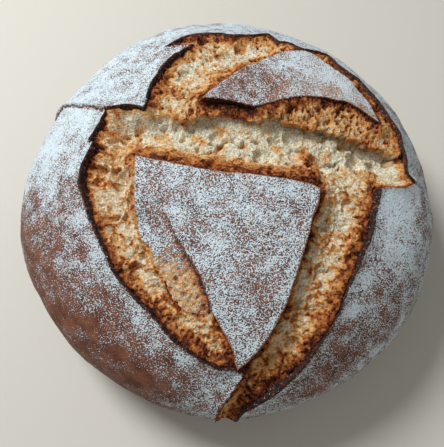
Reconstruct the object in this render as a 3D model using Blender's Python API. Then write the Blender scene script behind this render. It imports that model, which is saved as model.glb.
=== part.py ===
"""A round rye sourdough loaf, as one closed solid. Metres, +Z up, resting on its flat base at z = 0.

The loaf is built the way its crust is made: as a skin laid flat, scored along a few cuts, and wrapped
over the dome. A point of the flat skin is (u, v), in millimetres from the top of the loaf, with +v
towards the back. Its distance from the top is the way down over the dome, and its bearing is the way
round it. Every point then gets a height along the dome's normal, from the surface that it belongs to:

- the crust, all round the loaf and torn open by the oven along the cuts,
- the crumb, which the tears lay bare, with a terrace at the back and a valley in front of it,
- the flap, the three-cornered piece of crust in the middle, with a lower strip along its left side,
- the leaf, the long piece of crust behind the valley.
"""

import math

import bmesh
import bpy
import numpy as np
from mathutils import Vector, geometry, noise

# Driving dimensions, in millimetres
RADIUS = 115.0
HEIGHT = 88.0
WIDEST_AT = 30.0
BASE_RADIUS = 86.0
DOME_FULLNESS = 2.2
# How far out of round the loaf is: for each number of lobes, its cosine and sine share of the radius
LOBES = {2: (-0.024, -0.0045), 3: (0.0024, -0.011), 4: (0.0056, 0.007), 5: (-0.0064, -0.003)}

# The cuts on the flat skin. Each edge of the opening is a smooth curve through its points.
BACK_LEFT_FRONT = ((-63.7, 25.1), (-59.0, 23.9), (-53.3, 23.8), (-47.6, 22.4), (-42.4, 21.0))
BACK_LEFT_INNER = (
    (-42.4, 21.0), (-40.9, 26.0), (-40.6, 31.0), (-38.6, 39.4), (-35.3, 44.9), (-32.8, 50.0),
    (-26.7, 57.5), (-23.6, 59.5), (-17.5, 64.7),
)
NICK = ((-17.5, 64.7), (-27.0, 65.2), (-32.9, 65.8))
BACK_RIM = (
    (-32.9, 65.8), (-27.4, 70.1), (-21.4, 74.2), (-11.6, 76.3), (-3.6, 76.8), (1.8, 75.3), (12.8, 77.6),
    (24.3, 85.5),
)
RIGHT_RIM = (
    (24.3, 85.5), (26.5, 81.8), (29.6, 77.5), (35.2, 78.5), (43.0, 74.4), (54.2, 74.6), (60.3, 72.8),
    (65.0, 64.3), (76.1, 55.0), (85.7, 39.2), (89.2, 30.9), (95.1, 20.4), (94.6, 13.2), (95.9, 3.7),
    (94.3, -5.4), (99.8, -10.3),
)
RIGHT_PLATE_BACK = ((99.8, -10.3), (94.2, -13.5), (86.3, -16.8), (79.9, -17.9), (74.5, -18.4))
RIGHT_PLATE_INNER = (
    (74.5, -18.4), (72.2, -25.5), (69.1, -33.3), (65.9, -44.2), (62.0, -51.1), (54.9, -64.3),
    (51.4, -71.6), (47.8, -80.6), (36.7, -98.2), (25.6, -110.7), (13.5, -120.9), (6.4, -128.6),
    (3.5, -150.0),
)
FRONT_END = ((3.5, -150.0), (-1.5, -158.0), (-7.5, -150.0))
LEFT_PLATE_TIP = ((-7.5, -150.0), (-5.3, -128.0), (-0.4, -117.1), (5.7, -107.1), (6.6, -104.0))
LEFT_PLATE_INNER = (
    (6.6, -104.0), (2.5, -102.2), (-5.2, -100.8), (-12.8, -96.8), (-24.7, -88.0), (-31.4, -81.0),
    (-45.2, -68.4), (-51.7, -60.5), (-58.4, -46.9), (-63.1, -37.2), (-67.0, -26.4), (-70.8, -16.6),
    (-70.5, -8.1), (-66.0, 4.6),
)
LEFT_NOTCH = ((-66.0, 4.6), (-69.3, 6.5))
LEFT_PLATE_BACK = ((-69.3, 6.5), (-65.9, 16.1), (-64.8, 21.5), (-63.7, 25.1))

FLAP_BACK = (
    (-44.4, -4.7), (-36.6, -7.1), (-26.8, -9.9), (-15.1, -13.5), (-0.8, -15.7), (10.0, -16.6),
    (28.2, -19.1), (39.8, -21.6),
)
FLAP_CORNER = ((39.8, -21.6), (42.6, -22.9))
FLAP_RIGHT = (
    (42.6, -22.9), (40.8, -31.4), (38.1, -37.3), (34.1, -50.2), (26.9, -70.5), (22.1, -80.8),
    (16.6, -89.5), (10.4, -97.0), (4.1, -102.4),
)
FLAP_INNER = ((4.1, -102.4), (2.6, -98.8), (2.3, -94.7), (-2.7, -85.5), (-6.6, -78.6))
FLAP_SEAM = ((-6.6, -78.6), (-12.4, -80.2), (-19.0, -78.6), (-23.8, -75.1))
FLAP_LEFT = (
    (-23.8, -75.1), (-30.0, -62.8), (-33.9, -57.6), (-36.0, -50.9), (-40.6, -46.4), (-42.6, -37.2),
    (-43.4, -26.3), (-44.0, -16.0), (-44.4, -4.7),
)
# The fold in the flap, along which its left strip drops below the rest, from its start to its end
FLAP_FOLD = (
    (-30.1, -31.3), (-26.5, -39.7), (-24.0, -44.8), (-19.6, -51.7), (-14.7, -58.5), (-9.7, -69.8),
    (-8.3, -75.0),
)

LEAF_BACK = (
    (-12.0, 24.8), (-6.3, 32.8), (6.8, 47.4), (17.3, 55.4), (32.8, 67.9), (40.4, 71.6), (46.3, 73.4),
    (52.2, 70.6), (60.0, 61.7), (69.8, 54.3), (73.9, 46.0), (80.0, 35.9), (81.6, 21.1),
)
LEAF_FRONT = (
    (81.6, 21.1), (76.0, 24.4), (64.9, 30.6), (50.5, 30.8), (38.4, 29.2), (28.8, 26.4), (12.5, 20.2),
    (7.0, 21.6), (-2.1, 23.4), (-12.0, 24.8),
)

TERRACE_FRONT = (
    (-46.0, 24.0), (-26.1, 16.4), (-8.0, 18.0), (12.0, 15.5), (31.0, 16.0), (58.0, 11.0), (84.0, 6.0),
    (104.0, 3.0),
)
TERRACE_BEHIND = ((104.0, 3.0), (112.0, 60.0), (40.0, 108.0), (-50.0, 96.0), (-46.0, 24.0))
VALLEY = ((-48.0, 14.0), (-10.0, 5.0), (40.0, -1.0), (88.0, -4.0))

LEFT_CRACK = (
    (-122.0, 54.0), (-104.0, 48.5), (-87.1, 39.5), (-77.7, 33.6), (-71.0, 29.6), (-63.7, 25.1),
)
RIGHT_CRACK = ((99.8, -10.3), (105.5, -12.0), (112.2, -17.0), (126.0, -26.0), (138.0, -31.0))

# Heights above the dome, in millimetres
CRUMB_LEVEL = -6.0
TERRACE_LEVEL = -4.0
LEAF_LEVEL = 0.6
FLAP_LEVEL = 1.0
STRIP_DROP = 3.6
LIP = 2.0
BACK_LEFT_LIFT = 2.6
CRACK_DEPTH = 2.4
# Each swell of the crumb runs along a line: (line, height, reach)
CRUMB_SWELLS = (
    (VALLEY, -4.5, 13.0),
    (FLAP_BACK, 6.4, 6.0),
    (FLAP_RIGHT, -3.0, 8.0),
    (RIGHT_PLATE_INNER, 4.6, 11.0),
    (LEFT_PLATE_INNER, 2.6, 8.0),
)
TERRACE_SWELLS = (
    (RIGHT_RIM, 2.0, 9.0),
    (BACK_LEFT_INNER, 1.8, 8.0),
    (LEAF_BACK, 3.2, 7.0),
)
# Bubbles torn open in the crumb: (u, v, radius, depth)
BUBBLES = (
    (-50.0, 24.0, 7.0, 4.0),
    (-54.0, -17.0, 7.5, 4.5),
    (50.0, -8.0, 6.0, 3.5),
    (69.0, 0.0, 8.0, 4.5),
    (47.0, -42.0, 7.0, 4.5),
    (62.0, -26.0, 6.0, 3.0),
    (-16.0, 51.0, 7.0, 3.5),
    (2.0, 66.0, 8.0, 3.5),
    (-22.0, 30.0, 6.0, 3.0),
    (30.0, -93.0, 7.0, 3.0),
)
# A bubble's bowl has half its depth at this share of its radius
BUBBLE_BOWL = 0.6
CRAG_SIZE = 8.0
CRAG_HEIGHT = 2.4
CRAG_LAYERS = 3
STRAND_SIZE = 14.0
STRAND_HEIGHT = 1.6
# The strands are this much longer across the loaf than they are wide
STRAND_STRETCH = 2.0
WAVE_SIZE = 42.0
WAVE_HEIGHT = 1.5
WAVE_LAYERS = 2
# Where in the noise each uneven surface is taken from
CRUST_SEED = 3.7
FLAP_SEED = 5.1
LEAF_SEED = 8.2
CRUMB_SEED = 11.3

# Widths over the skin, in millimetres
CRUST_WALL = 2.2
PLATE_WALL = 0.9
PLATE_OVERHANG = 1.3
TERRACE_WALL = 1.1
TERRACE_OVERHANG = 2.0
# How far a wall's undercut is felt on the ground before it and on the layer above it
UNDERCUT_BEFORE = 4.0
UNDERCUT_ABOVE = 5.0
LIP_REACH = 7.0
LIFT_REACH = 16.0
# The lifted plate ends at this u
LIFT_END = -40.0
FOLD_WIDTH = 1.0
FOLD_RUN = 26.0
CRACK_WIDTH = 2.2
CRACK_BRINK = 2.9
BASE_FADE = 26.0
# A plate overhangs only where it stands this far clear of the ground below, and fully at twice that
OVERHANG_CLEARANCE = 1.6
OVERHANG_FADE = 4.0

# Mesh spacing, in millimetres
EDGE_STEP = 2.7
CRUMB_STEP = 2.7
PLATE_STEP = 5.0
CRUST_STEP = 8.5
# Loose points keep this share of a step clear of the kept lines
CLEAR_SHARE = 0.6
BASE_POINTS = 90
PROFILE_STEPS = 200
NEAR_ENOUGH = 0.03

MM = 0.001
CRUST_BROWN = (0.30, 0.16, 0.09, 1.0)


def dome_profile():
    """The dome's half outline, from its top to the edge of its base: way down, radius and height."""
    rise = np.linspace(0.0, math.pi / 2, PROFILE_STEPS)
    tuck = np.linspace(0.0, math.pi / 2, PROFILE_STEPS)[1:]
    over_radius = RADIUS * np.sin(rise) ** (2 / DOME_FULLNESS)
    over_height = WIDEST_AT + (HEIGHT - WIDEST_AT) * np.cos(rise) ** (2 / DOME_FULLNESS)
    under_radius = BASE_RADIUS + (RADIUS - BASE_RADIUS) * np.cos(tuck)
    under_height = WIDEST_AT * (1.0 - np.sin(tuck))
    radius = np.concatenate([over_radius, under_radius])
    height = np.concatenate([over_height, under_height])
    way = np.concatenate([[0.0], np.cumsum(np.hypot(np.diff(radius), np.diff(height)))])
    return way, radius, height


WAY, RADII, HEIGHTS = dome_profile()
SKIN_EDGE = WAY[-1]


def out_of_round(bearing):
    """How far the loaf's radius is from the mean at a bearing, as a factor."""
    factor = np.ones_like(bearing)
    for lobes, (cosine, sine) in LOBES.items():
        factor = factor + cosine * np.cos(lobes * bearing) + sine * np.sin(lobes * bearing)
    return factor


def wrap(skin, height):
    """Points of the flat skin, at their heights along the dome's normal, in the loaf's own frame."""
    way = np.hypot(skin[:, 0], skin[:, 1])
    bearing = np.arctan2(skin[:, 1], skin[:, 0])
    slope_radius = np.interp(way + 0.5, WAY, RADII) - np.interp(way - 0.5, WAY, RADII)
    slope_height = np.interp(way + 0.5, WAY, HEIGHTS) - np.interp(way - 0.5, WAY, HEIGHTS)
    length = np.hypot(slope_radius, slope_height)
    radius = np.interp(way, WAY, RADII) * out_of_round(bearing) - height * slope_height / length
    z = np.interp(way, WAY, HEIGHTS) + height * slope_radius / length
    return np.column_stack([radius * np.cos(bearing), radius * np.sin(bearing), z])


def smooth(points, step):
    """A smooth curve through the points, from the first to the last, as points about one step apart."""
    if len(points) == 2:
        ends = [np.array(p, float) for p in points]
        count = max(1, round(float(np.linalg.norm(ends[1] - ends[0])) / step))
        return np.array([ends[0] + (ends[1] - ends[0]) * i / count for i in range(count + 1)])
    held = [Vector(p) for p in points]
    held = [2 * held[0] - held[1], *held, 2 * held[-1] - held[-2]]
    curve = [held[1]]
    for before, start, end, after in zip(held, held[1:], held[2:], held[3:]):
        count = max(1, round((end - start).length / step))
        for i in range(1, count + 1):
            t = i / count
            pull_start = (end - before) * 0.5
            pull_end = (after - start) * 0.5
            curve.append(
                start * (2 * t**3 - 3 * t**2 + 1)
                + pull_start * (t**3 - 2 * t**2 + t)
                + end * (3 * t**2 - 2 * t**3)
                + pull_end * (t**3 - t**2)
            )
    return np.array([list(p) for p in curve])


def outline(*edges):
    """The closed outline that runs along the edges in turn."""
    return np.concatenate([smooth(edge, EDGE_STEP)[:-1] for edge in edges])


def closed(line):
    """An outline with its first point again at its end."""
    return np.concatenate([line, line[:1]])


def side_normals(line):
    """At each point of a line, the unit vector to its right, or out of a ring that runs anticlockwise."""
    if np.allclose(line[0], line[-1]):
        along = np.roll(line[:-1], -1, axis=0) - np.roll(line[:-1], 1, axis=0)
        along = closed(along)
    else:
        along = np.gradient(line, axis=0)
    across = np.column_stack([along[:, 1], -along[:, 0]])
    return across / np.maximum(np.linalg.norm(across, axis=1), 1e-9)[:, None]


def nearest(skin, line):
    """For each point, its distance to the line, and the line's normal at its nearest point."""
    normals = side_normals(line)
    best = np.full(len(skin), np.inf)
    normal = np.zeros((len(skin), 2))
    for start, end, start_normal, end_normal in zip(line, line[1:], normals, normals[1:]):
        along = end - start
        share = np.clip(((skin - start) @ along) / max(along @ along, 1e-12), 0.0, 1.0)
        offset = start + share[:, None] * along - skin
        distance = np.hypot(offset[:, 0], offset[:, 1])
        closer = distance < best
        best[closer] = distance[closer]
        normal[closer] = (start_normal + share[:, None] * (end_normal - start_normal))[closer]
    return best, normal


def inside(skin, ring):
    """Which points lie inside a closed outline."""
    odd = np.zeros(len(skin), bool)
    for start, end in zip(ring, np.roll(ring, -1, axis=0)):
        spans = (start[1] > skin[:, 1]) != (end[1] > skin[:, 1])
        rise = end[1] - start[1]
        if rise:
            odd ^= spans & (skin[:, 0] < start[0] + (skin[:, 1] - start[1]) * (end[0] - start[0]) / rise)
    return odd


def depth_inside(skin, ring):
    """Distance to the outline, positive inside it, and the way out of it."""
    distance, outward = nearest(skin, closed(ring))
    return np.where(inside(skin, ring), distance, -distance), outward


def anticlockwise(ring):
    """A closed outline, turned round if it runs clockwise."""
    after = np.roll(ring, -1, axis=0)
    area = float((ring[:, 0] * after[:, 1] - after[:, 0] * ring[:, 1]).sum())
    return ring if area > 0 else ring[::-1]


def beside(line, offset):
    """A line beside another, without the points that a bend would bring too near to it."""
    moved = line + side_normals(line) * offset
    distance, _ = nearest(moved, line)
    return moved[distance > abs(offset) - NEAR_ENOUGH]


def ease(value):
    """A smooth step from 0 to 1 as the value goes from 0 to 1."""
    t = np.clip(value, 0.0, 1.0)
    return t * t * (3.0 - 2.0 * t)


def swell(distance, reach):
    """A rounded rise: 1 on a line, and fading with the distance from it."""
    return np.exp(-((distance / reach) ** 2))


OPENING = anticlockwise(
    outline(
        BACK_LEFT_FRONT,
        BACK_LEFT_INNER,
        NICK,
        BACK_RIM,
        RIGHT_RIM,
        RIGHT_PLATE_BACK,
        RIGHT_PLATE_INNER,
        FRONT_END,
        LEFT_PLATE_TIP,
        LEFT_PLATE_INNER,
        LEFT_NOTCH,
        LEFT_PLATE_BACK,
    )
)
FLAP = anticlockwise(outline(FLAP_BACK, FLAP_CORNER, FLAP_RIGHT, FLAP_INNER, FLAP_SEAM, FLAP_LEFT))
LEAF = anticlockwise(outline(LEAF_BACK, LEAF_FRONT))
TERRACE = anticlockwise(outline(TERRACE_FRONT, TERRACE_BEHIND))
# The side of the fold where the flap keeps its full height: all round the flap but on the strip
FULL_HEIGHT = ((-6.0, -112.0), (90.0, -112.0), (90.0, 20.0), (-80.0, 20.0), (-80.0, -22.0))
UPPER_FLAP = np.concatenate([smooth(FLAP_FOLD, EDGE_STEP), FULL_HEIGHT])


def waves(skin, height, seed):
    """Long uneven waves, with shorter ones on them."""
    place = Vector((seed, 0.0, 0.0))
    spots = [Vector((u, v, 0.0)) / WAVE_SIZE + place for u, v in skin]
    return height * np.array([noise.fractal(spot, 1.0, 2.0, WAVE_LAYERS) for spot in spots])


def crags(skin, seed):
    """Torn crumb: strands that run across the loaf, with rough lumps on them."""
    place = Vector((seed, 0.0, 0.0))
    rough = []
    for u, v in skin:
        strand = noise.noise(Vector((u / STRAND_STRETCH, v, 0.0)) / STRAND_SIZE + place)
        lump = noise.turbulence(Vector((u, v, 0.0)) / CRAG_SIZE + place, CRAG_LAYERS, False)
        rough.append(STRAND_HEIGHT * strand + CRAG_HEIGHT * (lump - 0.5))
    return np.array(rough)


def crust_height(skin, edge_distance):
    """The crust's outer face: waves, a lip along the tear, a crack at each side, and one plate lifted."""
    height = waves(skin, WAVE_HEIGHT, CRUST_SEED)
    height += LIP * np.exp(-edge_distance / LIP_REACH)
    for crack in (LEFT_CRACK, RIGHT_CRACK):
        distance, _ = nearest(skin, smooth(crack, EDGE_STEP))
        height -= CRACK_DEPTH * swell(distance, CRACK_WIDTH)
    lifted = np.concatenate([smooth(LEFT_CRACK, EDGE_STEP), smooth(BACK_LEFT_FRONT, EDGE_STEP)[1:]])
    distance, _ = nearest(skin, lifted)
    behind = skin[:, 1] > np.interp(skin[:, 0], lifted[:, 0], lifted[:, 1]) - 0.5
    behind &= skin[:, 0] < LIFT_END
    return height + BACK_LEFT_LIFT * np.exp(-distance / LIFT_REACH) * behind


def swelled(skin, level, swells):
    """Crumb at one level, with its swells."""
    height = np.full(len(skin), level)
    for line, rise, reach in swells:
        distance, _ = nearest(skin, smooth(line, EDGE_STEP))
        height += rise * swell(distance, reach)
    return height


def flap_height(skin):
    """The flap, lifted along its right edge, with its strip lower on the left of the fold."""
    fold, _ = depth_inside(skin, UPPER_FLAP)
    drop = STRIP_DROP * ease((FLAP_FOLD[0][1] - skin[:, 1]) / FOLD_RUN)
    edge, _ = nearest(skin, smooth(FLAP_RIGHT, EDGE_STEP))
    height = FLAP_LEVEL + 0.5 * LIP * np.exp(-edge / LIP_REACH)
    height -= drop * (1.0 - ease(fold / FOLD_WIDTH + 0.5))
    return height + waves(skin, 0.5 * WAVE_HEIGHT, FLAP_SEED)


def leaf_height(skin):
    """The leaf, lifted along its front edge."""
    edge, _ = nearest(skin, smooth(LEAF_FRONT, EDGE_STEP))
    return LEAF_LEVEL + LIP * np.exp(-edge / LIP_REACH) + waves(skin, 0.5 * WAVE_HEIGHT, LEAF_SEED)


class Relief:
    """Every point's height along the normal, and its slide over the skin, which makes edges overhang."""

    def __init__(self, height):
        self.height = height
        self.slide = np.zeros((len(height), 2))

    def lay(self, layer, depth, outward, wall, overhang):
        """Lay a layer on the relief, with a wall round it that is undercut where the layer stands clear."""
        lift = layer - self.height
        stations = (-UNDERCUT_BEFORE, -wall, 0.0, UNDERCUT_ABOVE)
        reach = np.interp(depth, stations, (0.0, -0.5 * overhang, overhang, 0.0))
        clear = ease(lift / OVERHANG_CLEARANCE - 1.0)
        self.slide += outward * (reach * clear)[:, None]
        self.height = self.height + lift * ease(1.0 + depth / wall)


def relief(skin):
    """The relief of the whole skin, layer on layer, fading out towards the base."""
    ground = Relief(swelled(skin, CRUMB_LEVEL, CRUMB_SWELLS))
    terrace = swelled(skin, TERRACE_LEVEL, TERRACE_SWELLS)
    open_depth, open_way = depth_inside(skin, OPENING)
    flap_depth, flap_way = depth_inside(skin, FLAP)
    leaf_depth, leaf_way = depth_inside(skin, LEAF)
    terrace_depth, terrace_way = depth_inside(skin, TERRACE)
    from_crust = ease((open_depth - 1.5 * CRUST_WALL) / OVERHANG_FADE)[:, None]
    from_leaf = ease((-leaf_depth - PLATE_WALL) / OVERHANG_FADE)[:, None]
    ground.lay(terrace, terrace_depth, terrace_way * from_crust * from_leaf, TERRACE_WALL, TERRACE_OVERHANG)
    for u, v, radius, depth in BUBBLES:
        from_middle = np.hypot(skin[:, 0] - u, skin[:, 1] - v)
        ground.height -= depth * swell(from_middle, BUBBLE_BOWL * radius)
    ground.height += crags(skin, CRUMB_SEED) * ease(open_depth / OVERHANG_FADE)
    ground.lay(flap_height(skin), flap_depth, flap_way * from_crust, PLATE_WALL, PLATE_OVERHANG)
    ground.lay(leaf_height(skin), leaf_depth, leaf_way * from_crust, PLATE_WALL, PLATE_OVERHANG)
    ground.lay(crust_height(skin, np.abs(open_depth)), -open_depth, -open_way, CRUST_WALL, 0.0)
    low = ease((SKIN_EDGE - np.hypot(skin[:, 0], skin[:, 1])) / BASE_FADE)
    return ground.height * low, ground.slide


def grid(step):
    """Points over the whole skin, in rows that are staggered like bricks."""
    row_step = step * math.sqrt(0.75)
    rows = int(SKIN_EDGE / row_step) + 1
    columns = int(SKIN_EDGE / step) + 1
    points = [
        ((column + 0.5 * (row % 2)) * step, row * row_step)
        for row in range(-rows, rows + 1)
        for column in range(-columns, columns + 1)
    ]
    return np.array(points)


def kept_lines():
    """The lines that the triangles keep to: both edges of each wall, the fold, the cracks and the base."""
    bearings = np.linspace(0.0, 2 * math.pi, BASE_POINTS, endpoint=False)
    base = SKIN_EDGE * np.column_stack([np.cos(bearings), np.sin(bearings)])
    lines = [closed(base), closed(OPENING), closed(beside(OPENING, -CRUST_WALL))]
    for plate in (FLAP, LEAF):
        lines += [closed(plate), closed(beside(plate, PLATE_WALL))]
    fold = smooth(FLAP_FOLD, EDGE_STEP)
    lines += [beside(fold, 0.5 * FOLD_WIDTH), beside(fold, -0.5 * FOLD_WIDTH)]
    for crack in (LEFT_CRACK, RIGHT_CRACK):
        line = smooth(crack, EDGE_STEP)
        lines += [line, beside(line, CRACK_BRINK), beside(line, -CRACK_BRINK)]
    front = smooth(TERRACE_FRONT, EDGE_STEP)
    front = front[depth_inside(front, OPENING)[0] > 2 * CRUST_WALL]
    return lines + [front, beside(front, TERRACE_WALL)]


def loose_points(lines):
    """Points between the kept lines: close together on the crumb, and far apart on the crust."""
    on_lines = np.concatenate(lines)

    def clear(points, gap):
        """The points that are more than the gap away from every kept line."""
        return np.array([p for p in points if np.hypot(*(on_lines - p).T).min() > gap])

    crumb = grid(CRUMB_STEP)
    plated = inside(crumb, FLAP) | inside(crumb, LEAF)
    crumb = crumb[inside(crumb, OPENING) & ~plated]
    plates = grid(PLATE_STEP)
    plates = plates[inside(plates, FLAP) | inside(plates, LEAF)]
    crust = grid(CRUST_STEP)
    from_base = SKIN_EDGE - np.hypot(crust[:, 0], crust[:, 1])
    beyond_lip = depth_inside(crust, OPENING)[0] < -CRUST_STEP
    crust = crust[beyond_lip & (from_base > 0.5 * CRUST_STEP)]
    lip = beside(OPENING, 0.5 * CRUST_STEP)[::2]
    return [
        clear(crumb, CLEAR_SHARE * CRUMB_STEP),
        clear(plates, CLEAR_SHARE * PLATE_STEP),
        clear(crust, CLEAR_SHARE * CRUST_STEP),
        clear(lip, 0.5 * CLEAR_SHARE * CRUST_STEP),
    ]


def triangulate(lines, groups):
    """The flat skin's points and triangles, with every kept line along the edges of triangles."""
    points = []
    edges = []
    for line in lines:
        edges += [(len(points) + i, len(points) + i + 1) for i in range(len(line) - 1)]
        points += [Vector(p) for p in line]
    for group in groups:
        points += [Vector(p) for p in group]
    found, _, faces, *_ = geometry.delaunay_2d_cdt(points, edges, [], 0, 1e-3, False)
    return np.array([list(p) for p in found]), faces


def bread_material():
    """The plain brown of the crust."""
    material = bpy.data.materials.new("rye crust")
    material.use_nodes = True
    shader = material.node_tree.nodes["Principled BSDF"]
    shader.inputs["Base Color"].default_value = CRUST_BROWN
    shader.inputs["Roughness"].default_value = 0.85
    return material


def loaf():
    """The wrapped skin, closed by its flat base."""
    lines = kept_lines()
    skin, faces = triangulate(lines, loose_points(lines))
    height, slide = relief(skin)
    places = wrap(skin + slide, height)
    middle = (places.max(axis=0) + places.min(axis=0)) / 2
    places -= (middle[0], middle[1], 0.0)

    mesh = bpy.data.meshes.new("loaf")
    shape = bmesh.new()
    vertices = [shape.verts.new(place * MM) for place in places]
    for face in faces:
        shape.faces.new([vertices[i] for i in face])
    rim = [vertex for vertex, place in zip(vertices, skin) if np.hypot(*place) > SKIN_EDGE - NEAR_ENOUGH]
    for vertex in rim:
        vertex.co.z = 0.0
    rim.sort(key=lambda vertex: -math.atan2(vertex.co.y, vertex.co.x))
    shape.faces.new(rim)
    shape.to_mesh(mesh)
    shape.free()
    mesh.shade_smooth()
    mesh.materials.append(bread_material())
    bread = bpy.data.objects.new("loaf", mesh)
    bpy.context.scene.collection.objects.link(bread)
    return bread


for leftover in list(bpy.data.objects):
    bpy.data.objects.remove(leftover)
loaf()
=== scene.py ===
"""A rye sourdough loaf: its floured crust, its torn crumb and the two flaps that the oven lifted.

The loaf's surface is worked out flat and then wrapped over its dome. A point (u, v) of the flat skin
is in millimetres from the top of the loaf, with +v towards the back. Its distance from the top is the
way down over the dome, and its bearing is the way round it. Each point has a height along the dome's
normal.
"""

import collections
import math

import bpy
import numpy as np
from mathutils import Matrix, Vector, geometry, kdtree, noise


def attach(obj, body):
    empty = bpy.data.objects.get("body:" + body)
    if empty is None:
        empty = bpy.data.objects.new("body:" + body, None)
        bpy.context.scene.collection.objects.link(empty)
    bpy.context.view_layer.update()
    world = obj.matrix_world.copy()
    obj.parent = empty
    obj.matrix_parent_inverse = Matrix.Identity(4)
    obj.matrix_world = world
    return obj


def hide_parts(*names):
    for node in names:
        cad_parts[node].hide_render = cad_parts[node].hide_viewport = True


bl_info = {
    "name": "Rye sourdough loaf",
    "version": (1, 0, 0),
    "blender": (4, 5, 0),
    "location": "View3D > Sidebar > Loaf",
    "description": "Builds a floured rye sourdough loaf with a torn, browned top",
    "category": "Add Mesh",
}

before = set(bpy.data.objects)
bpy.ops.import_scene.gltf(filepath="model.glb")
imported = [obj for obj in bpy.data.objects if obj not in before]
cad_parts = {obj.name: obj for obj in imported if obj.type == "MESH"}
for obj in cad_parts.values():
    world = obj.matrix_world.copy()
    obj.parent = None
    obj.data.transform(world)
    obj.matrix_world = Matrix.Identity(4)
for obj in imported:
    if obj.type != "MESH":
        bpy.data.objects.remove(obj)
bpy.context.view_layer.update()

MM = 0.001
# The top of the dome, from the middle of the loaf's box
APEX = (0.73, -0.41)

# How far out of round the loaf is: for each number of lobes, its cosine and sine share of the radius
LOBES = {2: (-0.024, -0.0045), 3: (0.0024, -0.011), 4: (0.0056, 0.007), 5: (-0.0064, -0.003)}

# The cuts on the flat skin, as smooth curves through their points
BACK_LEFT_FRONT = ((-63.7, 25.1), (-59.0, 23.9), (-53.3, 23.8), (-47.6, 22.4), (-42.4, 21.0))
BACK_LEFT_INNER = (
    (-42.4, 21.0), (-40.9, 26.0), (-40.6, 31.0), (-38.6, 39.4), (-35.3, 44.9), (-32.8, 50.0),
    (-26.7, 57.5), (-23.6, 59.5), (-17.5, 64.7),
)
NICK = ((-17.5, 64.7), (-27.0, 65.2), (-32.9, 65.8))
BACK_RIM = (
    (-32.9, 65.8), (-27.4, 70.1), (-21.4, 74.2), (-11.6, 76.3), (-3.6, 76.8), (1.8, 75.3),
    (12.8, 77.6), (24.3, 85.5),
)
RIGHT_RIM = (
    (24.3, 85.5), (26.5, 81.8), (29.6, 77.5), (35.2, 78.5), (43.0, 74.4), (54.2, 74.6),
    (60.3, 72.8), (65.0, 64.3), (76.1, 55.0), (85.7, 39.2), (89.2, 30.9), (95.1, 20.4),
    (94.6, 13.2), (95.9, 3.7), (94.3, -5.4), (99.8, -10.3),
)
RIGHT_PLATE_BACK = ((99.8, -10.3), (94.2, -13.5), (86.3, -16.8), (79.9, -17.9), (74.5, -18.4))
RIGHT_PLATE_INNER = (
    (74.5, -18.4), (72.2, -25.5), (69.1, -33.3), (65.9, -44.2), (62.0, -51.1), (54.9, -64.3),
    (51.4, -71.6), (47.8, -80.6), (36.7, -98.2), (25.6, -110.7), (13.5, -120.9), (6.4, -128.6),
    (3.5, -150.0),
)
FRONT_END = ((3.5, -150.0), (-1.5, -158.0), (-7.5, -150.0))
LEFT_PLATE_TIP = ((-7.5, -150.0), (-5.3, -128.0), (-0.4, -117.1), (5.7, -107.1), (6.6, -104.0))
LEFT_PLATE_INNER = (
    (6.6, -104.0), (2.5, -102.2), (-5.2, -100.8), (-12.8, -96.8), (-24.7, -88.0), (-31.4, -81.0),
    (-45.2, -68.4), (-51.7, -60.5), (-58.4, -46.9), (-63.1, -37.2), (-67.0, -26.4), (-70.8, -16.6),
    (-70.5, -8.1), (-66.0, 4.6),
)
LEFT_NOTCH = ((-66.0, 4.6), (-69.3, 6.5))
LEFT_PLATE_BACK = ((-69.3, 6.5), (-65.9, 16.1), (-64.8, 21.5), (-63.7, 25.1))
# Each edge of the opening, with the depth of the crust's wall and the browning's reach into the crumb
# at even steps along it, in millimetres, and how scorched its wall is, from 0 to 1. Beside a deep wall
# the crumb's char is partly painted shade in the crevice
OPENING_EDGES = (
    (BACK_LEFT_FRONT, (0.6, 1.1), (2.4, 2.4), 0.90),
    (BACK_LEFT_INNER, (1.1, 1.6, 3.4, 3.0, 1.6), (5.0, 7.5, 8.5, 8.0, 7.0), 0.98),
    (NICK, (0.6, 0.5), (4.0, 5.0), 0.95),
    (BACK_RIM, (1.0, 0.8, 0.9, 1.1, 0.7), (8.0, 6.5, 7.0, 6.5, 5.0), 0.94),
    (RIGHT_RIM, (0.6, 0.8, 0.7, 1.1, 1.7, 2.0, 1.4, 0.5), (4.0, 5.0, 5.5, 6.0, 5.5, 4.5, 3.5), 0.95),
    (RIGHT_PLATE_BACK, (0.4, 0.6), (2.0, 2.0), 0.60),
    (
        RIGHT_PLATE_INNER,
        (3.4, 3.2, 2.2, 1.0, 0.7, 1.6, 3.0, 3.0, 1.0, 0.6),
        (6.5, 7.0, 7.0, 6.0, 6.0, 5.0),
        0.98,
    ),
    (FRONT_END, (0.6, 0.5), (3.0, 3.0), 0.80),
    (LEFT_PLATE_TIP, (0.5, 0.5), (2.0, 2.0), 0.75),
    (
        LEFT_PLATE_INNER,
        (0.5, 0.9, 1.5, 1.2, 1.8, 2.8, 4.0, 3.0),
        (4.0, 6.0, 6.0, 4.5, 3.0, 2.6, 2.6),
        0.98,
    ),
    (LEFT_NOTCH, (3.0, 2.6), (3.0, 4.0), 0.98),
    (LEFT_PLATE_BACK, (2.2, 1.2), (4.0, 3.0), 0.96),
)

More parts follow.
